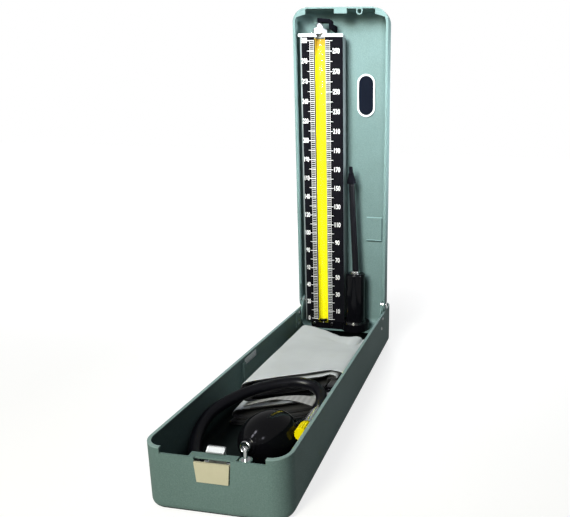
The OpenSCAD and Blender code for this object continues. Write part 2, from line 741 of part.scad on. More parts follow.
module lid_tray() difference() {
    union() {
        intersection() {
            lid_pan(half_w, hinge_z - 60, lid_top, rim_y, back_y, corner_r, lid_edge_r);
            along_x(-half_w, half_w) lid_profile(rim_y, knuckle_r);
        }
        lid_pan(tail_half, lid_end, tail_top, rim_y, back_y, corner_r - wall - tail_gap, lid_edge_r - wall);
        block([-tongue_w / 2, rim_y - tongue_out, lid_top - wall], [tongue_w / 2, rim_y + 1, lid_top]);
    }
    intersection() {
        lid_room(rim_y - 1);
        along_x(-half_w, half_w) lid_profile(rim_y - 1, knuckle_r - wall);
    }
    lid_pan(tail_half - tail_wall, end_in, tail_top, rim_y - 1, floor_y, corner_r - wall - tail_gap - tail_wall,
        lid_edge_r - wall - tail_wall);
    rod_x(-half_w - 1, half_w + 1, hinge_y, hinge_z, hinge_pin_d / 2 + pin_play);
}

// Hem along the sides of the lid and a flange across each of its two top corners
module lid_hem() {
    mid_z = (hinge_z - 60 + lid_top) / 2;
    height = lid_top - hinge_z + 60;
    difference() {
        translate([0, rim_y, mid_z]) rotate([-90, 0, 0]) hem_ring(case_w, height, corner_r);
        block([-far, 0, -far], [far, far, hem_low]);
        block([-flange_x, 0, lid_top - 20], [flange_x, far, far]);
    }
    for (s = [0, 1]) mirror([s, 0, 0]) intersection() {
        translate([0, rim_y, mid_z]) rotate([-90, 0, 0]) linear_extrude(flange_t)
            round_plate(case_w - 2 * hem_in, height - 2 * hem_in, corner_r - hem_in);
        translate([0, rim_y + flange_t + 1, 0]) rotate([90, 0, 0]) linear_extrude(flange_t + 2)
            polygon([[flange_x, lid_top], [flange_x, lid_top - flange_end],
                [half_w - hem_in, lid_top - flange_side], [half_w, lid_top]]);
    }
}

module lid_shell() color(paint) {
    lid_tray();
    lid_hem();
}

// Flange on the tongue that the latch hook holds
module lid_catch() color(paint)
    block([catch_x - catch_w / 2, catch_y, lid_top - wall - catch_reach],
        [catch_x + catch_w / 2, catch_y + catch_t, lid_top - wall]);

// Eye on the tongue that drops over the guide post
module lid_eye() color(paint) difference() {
    union() {
        rod_y(post_x, eye_y, eye_y + catch_t, eye_z, eye_r);
        block([post_x - eye_r, eye_y, eye_z], [post_x + eye_r, eye_y + catch_t, lid_top - wall]);
    }
    rod_y(post_x, eye_y - 1, eye_y + 2, eye_z, eye_bore);
    block([post_x - far, 0, lid_top - wall], [post_x + far, far, far]);
}

// Raised pad on the floor, cut to the round edge of the lid where it reaches that far
module lid_pad() color(paint)
    translate([0, 0, pad_at[2] - pad_h / 2]) linear_extrude(pad_h) intersection() {
        translate([pad_at[0] - pad_w / 2, floor_y - 1.5]) square([pad_w, 1.5]);
        union() {
            translate([inner_w - lid_edge_r + wall, floor_y - lid_edge_r + wall]) circle(lid_edge_r - wall);
            square([inner_w - lid_edge_r + wall, floor_y]);
        }
    }

module badge_slab(y0, y1, inset)
    translate([badge_at[0], y1, badge_at[2]]) rotate([90, 0, 0]) linear_extrude(y1 - y0)
        stadium(badge_w - 2 * inset, badge_h - 2 * inset);

module badge_rim() color(nickel) difference() {
    badge_slab(floor_y - 1.6, floor_y, 0);
    badge_slab(floor_y - 2, floor_y + 1, badge_border);
}

module badge_field() color("#1b2733") badge_slab(floor_y - 1.2, floor_y, badge_border + 0.05);

// ---------- manometer ----------

// Slot through the plate for the trough; it is open at the bottom of the plate
module slot_cut(y0, y1)
    block([tube_x - slot_w / 2, y0, plate_low - 1], [tube_x + slot_w / 2, y1, slot_high]);

// Plate with side flanges and a top flange, which joins its two halves behind the tube
module scale_plate() color(aluminium) difference() {
    union() {
        block([plate_left, face_y, plate_low], [plate_right, face_y + plate_t, plate_high]);
        for (x = [plate_left, plate_right - plate_t])
            block([x, face_y, plate_low + 12], [x + plate_t, floor_y - lid_edge_r / 2, plate_high]);
        block([plate_left, face_y, plate_high - plate_t], [plate_right, face_y + top_flange, plate_high]);
        for (x = tab_mid)
            block([x - tab_w / 2, face_y, plate_high - plate_t], [x + tab_w / 2, floor_y, plate_high]);
    }
    slot_cut(face_y - 1, face_y + plate_t + 1);
    translate([tube_x, tube_y, slot_high - 1]) cylinder(r = tube_d / 2 + 0.1, h = far);
    for (x = tab_mid) translate([x, face_y + rail_depth / 2, 0]) cylinder(r = 1.05, h = far);
}

// Black face of the plate, in two strips beside the trough
module scale_face() color(black_paint) difference() {
    block([plate_left + face_margin, face_y - face_t, plate_low], [plate_right, face_y, plate_high]);
    block([tube_x - slot_w / 2, face_y - 1, plate_low - 1], [tube_x + slot_w / 2, face_y + 1, plate_high + 1]);
}

module scale_trough() color(yellow) difference() {
    block([tube_x - trough_w / 2, face_y, trough_low], [tube_x + trough_w / 2, face_y + trough_depth, slot_high - 0.1]);
    block([tube_x - trough_w / 2 + 0.6, face_y - 1, plate_low - 1],
        [tube_x + trough_w / 2 - 0.6, face_y + trough_depth - 0.6, slot_high + 1]);
}

module top_rail() color(aluminium) difference() {
    block([rail_left, rail_front, plate_high], [rail_right, face_y + rail_depth, rail_top]);
    translate([tube_x, tube_y, 0]) cylinder(r = tube_d / 2 + 0.1, h = far);
    for (x = tab_mid) translate([x, face_y + rail_depth / 2, 0]) cylinder(r = 1.05, h = far);
}

module rail_screws() color(nickel) for (x = tab_mid) translate([x, face_y + rail_depth / 2, 0]) {
    translate([0, 0, plate_high - plate_t]) cylinder(r = 1, h = rail_t + plate_t);
    translate([0, 0, rail_top]) cylinder(r = 1.9, h = 1.2);
}

module glass_tube() color("#dfeef2") difference() {
    translate([tube_x, tube_y, seal_z]) cylinder(r = tube_d / 2, h = tube_top - seal_z);
    translate([tube_x, tube_y, seal_z - 1]) cylinder(r = tube_bore / 2, h = far);
}

// Mercury: the column up to the zero mark, the duct in the foot block and the pool in the cup
module mercury() color(nickel) {
    translate([tube_x, tube_y, duct_z]) cylinder(r = duct_r - 0.05, h = zero_z - duct_z);
    rod_x(tube_x - 1, reservoir_x, tube_y, duct_z, duct_r - 0.05);
    translate([reservoir_x, reservoir_y, cup_floor]) cylinder(r = cup_room_r - reservoir_wall - 0.1,
        h = zero_z - cup_floor);
}

module tube_seal() color(rubber_black) difference() {
    translate([tube_x, tube_y, seal_z]) cylinder(r = seal_r, h = seal_h);
    translate([tube_x, tube_y, seal_z - 1]) cylinder(r = tube_d / 2 + 0.05, h = far);
}

module tube_nut() color(nickel) difference() {
    translate([tube_x, tube_y, rail_top]) cylinder(r = nut_r, h = nut_h, $fn = 6);
    translate([tube_x, tube_y, rail_top - 1]) cylinder(r = tube_d / 2 + 0.1, h = nut_h);
}

module tube_cap() color(nickel) translate([tube_x, tube_y, rail_top + nut_h])
    rotate_extrude() polygon([[0, 0], [cap_r, 0], [cap_r, cap_h * 0.45], [cap_r * 0.85, cap_h * 0.75],
        [cap_r * 0.5, cap_h], [0, cap_h]]);

// Black strap over the cap, with a leg down beside the nut and a foot on the lid's floor
module tube_clip() color(black_paint) {
    translate([tube_x, tube_y + 4, 0]) rotate([90, 0, 0]) linear_extrude(8)
        polygon([[-1.2, clip_z], [-1.2, clip_z + 3.9], [11.4, clip_z + 3], [13.2, clip_z + 1.2],
            [13.2, clip_z - 6.2], [10.6, clip_z - 6.2], [10.4, clip_z - 1], [8.6, clip_z]]);
    block([tube_x + 10.6, tube_y + 3.9, clip_z - 6.2], [tube_x + 13.2, floor_y, clip_z - 0.8]);
}

// Section of the room in the tail of the lid, in the Y-Z plane, with a gap to its walls
module tail_section(gap) {
    r = lid_edge_r - wall - tail_wall;
    translate([floor_y - r, end_in + r]) circle(r - gap);
    translate([rim_y - r, end_in + gap]) square([floor_y - rim_y, r]);
    translate([rim_y - r, end_in + r]) square([floor_y - gap - rim_y + r, far]);
}

// Casting that joins the foot of the tube to the cup under the reservoir
module foot_block() color(black_paint) difference() {
    intersection() {
        union() {
            block([plate_left + 7.6, rim_y + 1, foot_z], [reservoir_x, floor_y, foot_top]);
            translate([reservoir_x, reservoir_y, foot_z]) cylinder(r = cup_d / 2, h = cup_top - foot_z);
        }
        along_x(-half_w, half_w) tail_section(foot_gap);
    }
    translate([reservoir_x, reservoir_y, cup_floor]) cylinder(r = cup_room_r - reservoir_wall, h = far);
    translate([reservoir_x, reservoir_y, reservoir_z]) cylinder(r = reservoir_r + 0.05, h = far);
    block([reservoir_x - cup_d / 2 - 1, -far, foot_top], [plate_right + 0.3, far, far]);
    rod_x(tube_x - 1.5, reservoir_x, tube_y, duct_z, duct_r);
    translate([tube_x, tube_y, duct_z]) cylinder(r = duct_r, h = far);
    translate([tube_x, tube_y, seal_z]) cylinder(r = seal_r + 0.05, h = far);
    for (x = foot_screws_at) rod_y(x, 0, far, foot_screw_z, 1.05);
}

module foot_screws() color(nickel) for (x = foot_screws_at) {
    rod_y(x, rim_y + 1, floor_y - 3, foot_screw_z, 1);
    rod_y(x, rim_y - 0.2, rim_y + 1, foot_screw_z, 1.8);
}

module reservoir() color(black_paint) difference() {
    translate([reservoir_x, reservoir_y, reservoir_z]) cylinder(r = reservoir_r, h = reservoir_top - reservoir_z);
    translate([reservoir_x, reservoir_y, reservoir_z - 1])
        cylinder(r = reservoir_r - reservoir_wall, h = reservoir_top - reservoir_z - 1);
    translate([reservoir_x, reservoir_y, 0]) cylinder(r = 1.5, h = far);
}

module reservoir_collar() color(nickel) difference() {
    translate([reservoir_x, reservoir_y, cup_top]) cylinder(r = reservoir_r + 1.6, h = 1.4);
    translate([reservoir_x, reservoir_y, 0]) cylinder(r = reservoir_r + 0.05, h = far);
    block([0, -far, 0], [plate_right + 0.3, far, far]);
}

module reservoir_cap() color(black_paint) translate([reservoir_x, reservoir_y, reservoir_top]) difference() {
    rotate_extrude() intersection() {
        square([reservoir_r, cap_rise]);
        union() {
            square([reservoir_r - cap_round, cap_rise]);
            square([reservoir_r, cap_rise - cap_round]);
            translate([reservoir_r - cap_round, cap_rise - cap_round]) circle(cap_round);
        }
    }
    translate([0, 0, -1]) cylinder(r = 1.5, h = far);
}

module reservoir_nipple() color(nickel) translate([reservoir_x, reservoir_y, nipple_z]) {
    cylinder(r = 5.3, h = nipple_h * 0.6);
    cylinder(r = 4.6, h = nipple_h);
    translate([0, 0, nipple_h]) rotate([0, -gauge_lean, 0]) cylinder(r = barb_r, h = 10);
}

// The gauge hose and its connector stand on the nipple and lean towards the scale plate
module hose_frame() translate([reservoir_x, reservoir_y, hose_foot]) rotate([0, -gauge_lean, 0]) children();

module gauge_hose() color(rubber_black) hose_frame() difference() {
    cylinder(r1 = gauge_hose_d / 2, r2 = gauge_hose_d / 2 - 0.4, h = gauge_hose_l);
    translate([0, 0, -1]) cylinder(r = gauge_bore, h = gauge_hose_l + 2);
}

module hose_connector() color(black_paint) hose_frame() translate([0, 0, gauge_hose_l]) difference() {
    union() {
        translate([0, 0, -8]) cylinder(r = 2, h = 9);
        rotate_extrude() polygon([[0, 0.1], [4.8, 0.1], [4.8, 1.4], [4.3, 4], [3.2, 7.4], [2.7, 9], [2.7, 10.4],
            [2.1, 11.4], [1.9, 16.6], [1.3, 17.6], [0, 17.6]]);
    }
    translate([0, 0, -9]) cylinder(r = 0.8, h = far);
}

base_shell();
hinge_bracket_left();
hinge_bracket_right();
hinge_pins();
hinge_washers();
bracket_rivets();
latch_bracket();
latch_plate();
latch_hook();
latch_pin();
latch_spring();
guide_post();
wall_clip();
wall_label();
cuff();
bladder();
bladder_nipple();
bulb();
inlet_valve();
release_valve();
release_screw();
bulb_hose();
lid_shell();
lid_catch();
lid_eye();
lid_pad();
badge_rim();
badge_field();
scale_plate();
scale_face();
scale_trough();
top_rail();
rail_screws();
glass_tube();
mercury();
tube_seal();
tube_nut();
tube_cap();
tube_clip();
foot_block();
foot_screws();
reservoir();
reservoir_collar();
reservoir_cap();
reservoir_nipple();
gauge_hose();
hose_connector();
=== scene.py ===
# Mercury sphygmomanometer standing open on a pale floor, dressed over its CAD frame.
import math

import bmesh
import bpy
from mathutils import Matrix, Vector, noise


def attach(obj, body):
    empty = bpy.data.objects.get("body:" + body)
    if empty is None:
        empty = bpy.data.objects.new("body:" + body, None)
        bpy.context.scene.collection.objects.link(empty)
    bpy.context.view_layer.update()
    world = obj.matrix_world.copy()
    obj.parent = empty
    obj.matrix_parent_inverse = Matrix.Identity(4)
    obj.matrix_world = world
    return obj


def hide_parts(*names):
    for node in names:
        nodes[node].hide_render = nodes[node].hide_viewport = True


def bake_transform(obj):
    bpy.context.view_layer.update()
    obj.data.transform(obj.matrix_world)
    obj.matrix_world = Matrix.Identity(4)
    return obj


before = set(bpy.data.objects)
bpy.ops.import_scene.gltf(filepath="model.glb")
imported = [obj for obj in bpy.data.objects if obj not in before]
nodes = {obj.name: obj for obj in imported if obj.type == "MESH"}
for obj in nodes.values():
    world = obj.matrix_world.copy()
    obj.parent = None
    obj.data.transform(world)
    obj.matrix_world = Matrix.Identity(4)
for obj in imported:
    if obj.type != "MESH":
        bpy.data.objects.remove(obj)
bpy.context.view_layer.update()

MM = 0.001

# The manometer in millimetres: the front of the scale's face, the middle of the tube, the line of 0
# and how far above it the line of 300 stands.
FACE_Y = 130.2
TUBE_X = -22.45
ZERO_Z = 31.1
SCALE_H = 291.0

# The base in metres: the height of its rim, half of its width and length as the paint's masks take
# them, and the radius of its corners.
BASE_H = 0.045
BASE_HALF_X = 0.0475
BASE_HALF_Y = 0.167
CORNER_R = 0.013

# Strength of the white room as metal, glass and gloss mirror it.
SHINE = 0.36


def mm(*values):
    """A point given in millimetres, in metres."""
    return Vector(values) * MM


# ---------- camera ----------

def add_camera():
    """Camera at the place and angle from which the object was photographed."""
    place = (0.15936, -0.44656, 0.23432)
    yaw, pitch, roll = 0.152, -0.247, 0.024
    flat = math.cos(pitch)
    ahead = Vector((-math.sin(yaw) * flat, math.cos(yaw) * flat, math.sin(pitch)))
    right = Vector((math.cos(yaw), math.sin(yaw), 0))
    up = right.cross(ahead)
    right, up = (right * math.cos(roll) + up * math.sin(roll),
                 up * math.cos(roll) - right * math.sin(roll))
    data = bpy.data.cameras.new("camera")
    data.lens = 35.44
    data.sensor_width = 36
    data.sensor_fit = "HORIZONTAL"
    data.shift_x = -0.2137
    data.shift_y = 0.0295
    data.clip_start = 0.01
    camera = bpy.data.objects.new("camera", data)
    bpy.context.scene.collection.objects.link(camera)
    turn = Matrix((right, up, -ahead)).transposed().to_4x4()
    camera.matrix_world = Matrix.Translation(place) @ turn
    bpy.context.scene.camera = camera


add_camera()


# ---------- shared makers ----------

def piece(name, mesh, material, body, smooth=True):
    """Puts a mesh or curve into the scene with its material, on a body when one is given."""
    thing = bpy.data.objects.new(name, mesh)
    bpy.context.scene.collection.objects.link(thing)
    for one in material if isinstance(material, list) else [material]:
        mesh.materials.append(one)
    if smooth and isinstance(mesh, bpy.types.Mesh):
        mesh.polygons.foreach_set("use_smooth", [True] * len(mesh.polygons))
    if body:
        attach(thing, body)
    return thing


def mesh_of(name, points, faces):
    """Mesh from points in millimetres and faces."""
    mesh = bpy.data.meshes.new(name)
    mesh.from_pydata([Vector(p) * MM for p in points], [], faces)
    mesh.update()
    return mesh


def smooth_line(points, steps):
    """Points of a smooth curve that passes through the given points."""
    out = []
    last = len(points) - 1
    for i in range(last):
        a, b = Vector(points[max(i - 1, 0)]), Vector(points[i])
        c, d = Vector(points[i + 1]), Vector(points[min(i + 2, last)])
        for k in range(steps):
            t = k / steps
            out.append(0.5 * ((2 * b) + (c - a) * t + (2 * a - 5 * b + 4 * c - d) * t * t
                              + (3 * b - a - 3 * c + d) * t ** 3))
    out.append(Vector(points[last]))
    return out


def curve_tube(name, points, radius, material, body, sides=8):
    """Round tube along a smooth line through points in millimetres."""
    data = bpy.data.curves.new(name, "CURVE")
    data.dimensions = "3D"
    data.bevel_depth = radius * MM
    data.bevel_resolution = sides
    data.resolution_u = 8
    data.use_fill_caps = True
    spline = data.splines.new("NURBS")
    line = [Vector(p) * MM for p in points]
    spline.points.add(len(line) - 1)
    for dot, place in zip(spline.points, line):
        dot.co = (*place, 1)
    spline.order_u = 4
    spline.use_endpoint_u = True
    return piece(name, data, material, body)


def ring_faces(rings, sides):
    """Faces of a tube whose points stand ring by ring, with a cap at each end."""
    faces = []
    for i in range(rings - 1):
        here, there = i * sides, (i + 1) * sides
        for k in range(sides):
            k2 = (k + 1) % sides
            faces.append((here + k, here + k2, there + k2, there + k))
    faces.append(tuple(reversed(range(sides))))
    faces.append(tuple((rings - 1) * sides + k for k in range(sides)))
    return faces


def tube_mesh(name, line, radii, sides=32):
    """Closed round tube along points in millimetres, with a radius at each point."""
    points = []
    across = Vector((0.31, 0.93, 0.17))
    for i, dot in enumerate(line):
        along = (line[min(i + 1, len(line) - 1)] - line[max(i - 1, 0)]).normalized()
        across = (across - along * across.dot(along)).normalized()
        other = along.cross(across)
        for k in range(sides):
            a = 2 * math.pi * k / sides
            points.append(dot + radii[i] * (across * math.cos(a) + other * math.sin(a)))
    return mesh_of(name, points, ring_faces(len(line), sides))


def add_modifier(thing, kind, **settings):
    """Modifier of a kind on an object, with its settings."""
    made = thing.modifiers.new(kind.lower(), kind)
    for key, value in settings.items():
        setattr(made, key, value)


def part_way(value, start, end):
    """How far a value has come from start to end, held between 0 and 1."""
    return min(1.0, max(0.0, (value - start) / (end - start)))


# ---------- shader parts ----------

def shader_node(tree, kind, **settings):
    """Node of a kind in a tree, with its settings."""
    made = tree.nodes.new(kind)
    for key, value in settings.items():
        setattr(made, key, value)
    return made


def new_group(name, inputs, outputs):
    """Empty shader group with named number or vector inputs and outputs."""
    group = bpy.data.node_groups.new(name, "ShaderNodeTree")
    for label, kind, value in inputs:
        socket = group.interface.new_socket(label, in_out="INPUT", socket_type=kind)
        socket.default_value = value
    for label, kind in outputs:
        group.interface.new_socket(label, in_out="OUTPUT", socket_type=kind)
    return group, group.nodes.new("NodeGroupInput"), group.nodes.new("NodeGroupOutput")


def noise_of(tree, coords, scale, detail=3.0, rough=0.55):
    """Noise texture read from a coordinate socket; scale is a number or a socket."""
    made = shader_node(tree, "ShaderNodeTexNoise")
    made.inputs["Detail"].default_value = detail
    made.inputs["Roughness"].default_value = rough
    tree.links.new(coords, made.inputs["Vector"])
    if isinstance(scale, (int, float)):
        made.inputs["Scale"].default_value = scale
    else:
        tree.links.new(scale, made.inputs["Scale"])
    return made.outputs["Fac"]


def math_of(tree, kind, a, b=None, clamp=False):
    """Math node on numbers or sockets."""
    made = shader_node(tree, "ShaderNodeMath", operation=kind, use_clamp=clamp)
    for socket, value in zip(made.inputs, (a, b)):
        if value is None:
            continue
        if isinstance(value, (int, float)):
            socket.default_value = value
        else:
            tree.links.new(value, socket)
    return made.outputs[0]


def ramp_of(tree, value, stops):
    """Colour ramp with stops as (place, colour)."""
    made = shader_node(tree, "ShaderNodeValToRGB")
    ramp = made.color_ramp
    while len(ramp.elements) < len(stops):
        ramp.elements.new(0.5)
    for element, (place, colour) in zip(ramp.elements, stops):
        element.position = place
        element.color = (*colour, 1)
    tree.links.new(value, made.inputs["Fac"])
    return made.outputs["Color"]


def mix_of(tree, factor, a, b, blend="MIX"):
    """Colour mix of two sockets or plain colours."""
    made = shader_node(tree, "ShaderNodeMix", data_type="RGBA", blend_type=blend)
    for index, value in ((0, factor), (6, a), (7, b)):
        socket = made.inputs[index]
        if isinstance(value, (int, float)):
            socket.default_value = value
        elif isinstance(value, tuple):
            socket.default_value = (*value, 1)
        else:
            tree.links.new(value, socket)
    return made.outputs[2]


def span_of(tree, value, start, end, low=0.0, high=1.0, **settings):
    """Number that runs from low to high while a socket's value runs from start to end."""
    made = shader_node(tree, "ShaderNodeMapRange", **settings)
    numbers = {"From Min": start, "From Max": end, "To Min": low, "To Max": high}
    for label, number in numbers.items():
        made.inputs[label].default_value = number
    tree.links.new(value, made.inputs["Value"])
    return made.outputs[0]


def build_hammer_group():
    """Hammered paint: shallow round dimples with bright flakes between them."""
    tree, given, out = new_group(
        "hammered_paint",
        [("Coords", "NodeSocketVector", (0, 0, 0)), ("Cells", "NodeSocketFloat", 700.0)],
        [("Height", "NodeSocketFloat"), ("Flakes", "NodeSocketFloat"),
         ("Cloud", "NodeSocketFloat")])
    coords, cells = given.outputs["Coords"], given.outputs["Cells"]
    warp = shader_node(tree, "ShaderNodeVectorMath", operation="ADD")
    wobble = shader_node(tree, "ShaderNodeVectorMath", operation="SCALE")
    wobble.inputs["Scale"].default_value = 0.0012
    drift = shader_node(tree, "ShaderNodeTexNoise")
    drift.inputs["Scale"].default_value = 260
    tree.links.new(coords, drift.inputs["Vector"])
    tree.links.new(drift.outputs["Color"], wobble.inputs[0])
    tree.links.new(coords, warp.inputs[0])
    tree.links.new(wobble.outputs[0], warp.inputs[1])
    cell = shader_node(tree, "ShaderNodeTexVoronoi", feature="SMOOTH_F1")
    cell.inputs["Smoothness"].default_value = 0.6
    tree.links.new(warp.outputs[0], cell.inputs["Vector"])
    tree.links.new(cells, cell.inputs["Scale"])
    tree.links.new(cell.outputs["Distance"], out.inputs["Height"])
    fine = noise_of(tree, coords, 2600.0, 2.0)
    tree.links.new(math_of(tree, "GREATER_THAN", fine, 0.6), out.inputs["Flakes"])
    tree.links.new(noise_of(tree, coords, 14.0, 4.0), out.inputs["Cloud"])
    return tree


def build_brush_group():
    """Fine scratches along one direction; Stretch is the scale along X, Y and Z."""
    tree, given, out = new_group(
        "brushed_lines",
        [("Coords", "NodeSocketVector", (0, 0, 0)),
         ("Stretch", "NodeSocketVector", (900, 900, 20))],
        [("Lines", "NodeSocketFloat"), ("Cloud", "NodeSocketFloat")])
    scaled = shader_node(tree, "ShaderNodeVectorMath", operation="MULTIPLY")
    tree.links.new(given.outputs["Coords"], scaled.inputs[0])
    tree.links.new(given.outputs["Stretch"], scaled.inputs[1])
    tree.links.new(noise_of(tree, scaled.outputs[0], 1.0, 4.0, 0.7), out.inputs["Lines"])
    tree.links.new(noise_of(tree, given.outputs["Coords"], 60.0, 3.0), out.inputs["Cloud"])
    return tree


def build_weave_group():
    """Plain weave of a close cotton cloth: threads over and under in two directions."""
    tree, given, out = new_group(
        "plain_weave",
        [("Coords", "NodeSocketVector", (0, 0, 0)), ("Threads", "NodeSocketFloat", 1600.0)],
        [("Height", "NodeSocketFloat"), ("Rows", "NodeSocketFloat"), ("Cloud", "NodeSocketFloat")])
    split = shader_node(tree, "ShaderNodeSeparateXYZ")
    tree.links.new(given.outputs["Coords"], split.inputs[0])
    waves = []
    for axis in (0, 1):
        angle = math_of(tree, "MULTIPLY", split.outputs[axis], given.outputs["Threads"])
        waves.append(math_of(tree, "SINE", angle))
    crossed = math_of(tree, "MULTIPLY", waves[0], waves[1])
    grain = noise_of(tree, given.outputs["Coords"], 900.0, 3.0)
    tree.links.new(math_of(tree, "ADD", crossed, grain), out.inputs["Height"])
    tree.links.new(math_of(tree, "MULTIPLY_ADD", waves[0], 0.5), out.inputs["Rows"])
    tree.links.new(noise_of(tree, given.outputs["Coords"], 30.0, 4.0), out.inputs["Cloud"])
    return tree


def build_grime_group():
    """Slight dirt and rubbing: broad soft clouds broken by small specks."""
    tree, given, out = new_group(
        "grime",
        [("Coords", "NodeSocketVector", (0, 0, 0)), ("Size", "NodeSocketFloat", 40.0)],
        [("Mask", "NodeSocketFloat"), ("Fine", "NodeSocketFloat")])
    broad = noise_of(tree, given.outputs["Coords"], given.outputs["Size"], 5.0, 0.6)
    fine = noise_of(tree, given.outputs["Coords"], 420.0, 3.0, 0.6)
    both = math_of(tree, "MULTIPLY", broad, fine)
    tree.links.new(math_of(tree, "MULTIPLY", both, 2.4, clamp=True), out.inputs["Mask"])
    tree.links.new(fine, out.inputs["Fine"])
    return tree


HAMMER = build_hammer_group()
BRUSH = build_brush_group()
WEAVE = build_weave_group()
GRIME = build_grime_group()


class Finish:
    """A material under construction: its tree, its shader and the coordinates on the object."""

    def __init__(self, name, colour, **plain):
        self.material = bpy.data.materials.new(name)
        self.material.use_nodes = True
        self.tree = self.material.node_tree
        self.shader = self.tree.nodes["Principled BSDF"]
        self.coords = shader_node(self.tree, "ShaderNodeTexCoord").outputs["Object"]
        self.shader.inputs["Base Color"].default_value = (*colour, 1)
        for key, value in plain.items():
            self.shader.inputs[key.replace("_", " ")].default_value = value

    def group(self, group, **values):
        """A shared group on this object's coordinates, with its own values."""
        made = shader_node(self.tree, "ShaderNodeGroup", node_tree=group)
        self.tree.links.new(self.coords, made.inputs["Coords"])
        for key, value in values.items():
            made.inputs[key].default_value = value
        return made.outputs

    def axes(self):
        """X, Y and Z of the coordinates, each as a socket."""
        split = shader_node(self.tree, "ShaderNodeSeparateXYZ")
        self.tree.links.new(self.coords, split.inputs[0])
        return split.outputs

    def stained(self, mask, share, tone, stain):
        """Tone that turns into the stain, by up to share where the mask is full."""
        return mix_of(self.tree, math_of(self.tree, "MULTIPLY", mask, share), tone, stain)

    def colour(self, socket):
        """Base colour read from a socket."""
        self.tree.links.new(socket, self.shader.inputs["Base Color"])

    def rough(self, socket, low, high):
        """Roughness that runs from low to high as the socket runs from 0 to 1."""
        span = span_of(self.tree, socket, 0.0, 1.0, low, high)
        self.tree.links.new(span, self.shader.inputs["Roughness"])

    def bump(self, height, depth, strength=1.0):
        """Bump whose height socket is worth depth in metres."""
        made = shader_node(self.tree, "ShaderNodeBump")
        made.inputs["Distance"].default_value = depth
        made.inputs["Strength"].default_value = strength
        self.tree.links.new(height, made.inputs["Height"])
        self.tree.links.new(made.outputs[0], self.shader.inputs["Normal"])


# ---------- finishes ----------

def inside_depth(f, skin=0.0007):
    """Mask of painted shade that rises from 0 at mid height to 1 at the floor, on the inner faces of
    the base alone.
    Faces within a skin of the rounded outline and of the underside count as outer ones."""
    mid_height, near_floor, darkest = 0.022, 0.005, 0.97
    x, y, z = f.axes()
    fall = span_of(f.tree, z, mid_height, near_floor, 0.0, darkest, interpolation_type="SMOOTHSTEP")
    squares = []
    for place, half in ((x, BASE_HALF_X), (y, BASE_HALF_Y)):
        past = math_of(f.tree, "SUBTRACT", math_of(f.tree, "ABSOLUTE", place), half - CORNER_R)
        past = math_of(f.tree, "MAXIMUM", past, 0.0)
        squares.append(math_of(f.tree, "MULTIPLY", past, past))
    corner = math_of(f.tree, "SQRT", math_of(f.tree, "ADD", *squares))
    within = math_of(f.tree, "LESS_THAN", corner, CORNER_R - skin)
    above = math_of(f.tree, "GREATER_THAN", z, skin)
    return math_of(f.tree, "MULTIPLY", fall, math_of(f.tree, "MULTIPLY", within, above))


def rim_top(f, skin=0.0007):
    """Mask of the upright rim's narrow top face, which a painted highlight makes paler."""
    return math_of(f.tree, "GREATER_THAN", f.axes()[2], BASE_H - skin)


def finish_case_paint(name, paint_floor_shade=False):
    """Grey-green hammered enamel with metal flake, a little darker in broad clouds.
    In the base, painted shade darkens the inner faces towards the floor, and a painted highlight
    makes the rim's top face paler."""
    f = Finish(name, (0.15, 0.23, 0.21), Metallic=0.08, IOR=1.4, Specular_IOR_Level=0.12)
    hammer = f.group(HAMMER, Cells=1150.0)
    tone = ramp_of(f.tree, hammer["Cloud"],
                   [(0.3, (0.13, 0.207, 0.2)), (0.7, (0.156, 0.242, 0.237))])
    cell = ramp_of(f.tree, hammer["Height"],
                   [(0.0, (0.86, 0.87, 0.87)), (0.45, (1.0, 1.0, 1.0)), (0.9, (1.14, 1.12, 1.11))])
    tone = mix_of(f.tree, 1.0, tone, cell, "MULTIPLY")
    tone = f.stained(hammer["Flakes"], 0.2, tone, (0.32, 0.42, 0.41))
    grime = f.group(GRIME, Size=26.0)
    tone = f.stained(grime["Mask"], 0.16, tone, (0.09, 0.12, 0.1))
    if paint_floor_shade:
        # Painted shade: the inner faces of the base darken from mid height to near black at the
        # floor.
        tone = mix_of(f.tree, inside_depth(f), tone, (0.006, 0.008, 0.009))
        # Painted highlight: the rim's top face is painted paler.
        tone = mix_of(f.tree, rim_top(f), tone, (0.27, 0.385, 0.38))
    f.colour(tone)
    f.rough(hammer["Height"], 0.45, 0.62)
    f.bump(hammer["Height"], 0.00016, 0.5)
    return f.material


def finish_metal(name, colour, rough, stretch, streak=0.25, depth=0.00002):
    """Plated or bare metal with fine lines and soft clouds in its shine."""
    f = Finish(name, colour, Metallic=1.0)
    lines = f.group(BRUSH, Stretch=stretch)
    grime = f.group(GRIME, Size=80.0)
    dark = tuple(c * 0.72 for c in colour)
    tone = f.stained(grime["Mask"], 0.45, colour, dark)
    f.colour(f.stained(lines["Lines"], streak, tone, dark))
    f.rough(lines["Lines"], rough * 0.6, rough * 1.5)
    f.bump(lines["Lines"], depth, 0.5)
    return f.material


def finish_bare_plate():
    """Cream-coloured passivated steel of the latch plate, almost matt."""
    f = Finish("bare_plate", (0.62, 0.58, 0.4), Metallic=0.25)
    lines = f.group(BRUSH, Stretch=(30, 900, 900))
    grime = f.group(GRIME, Size=120.0)
    tone = f.stained(grime["Mask"], 0.4, (0.66, 0.62, 0.45), (0.54, 0.49, 0.34))
    f.colour(f.stained(lines["Lines"], 0.3, tone, (0.7, 0.67, 0.5)))
    f.rough(grime["Fine"], 0.38, 0.6)
    f.bump(lines["Lines"], 0.00003, 0.4)
    return f.material


def finish_rubber(name, colour, low, high, depth=0.00005):
    """Moulded black rubber with a faint bloom and a fine skin."""
    f = Finish(name, colour, IOR=1.3)
    grime = f.group(GRIME, Size=50.0)
    bloom = tuple(c * 2.0 + 0.001 for c in colour)
    f.colour(f.stained(grime["Mask"], 0.5, colour, bloom))
    f.rough(grime["Fine"], low, high)
    f.bump(grime["Fine"], depth, 0.5)
    return f.material


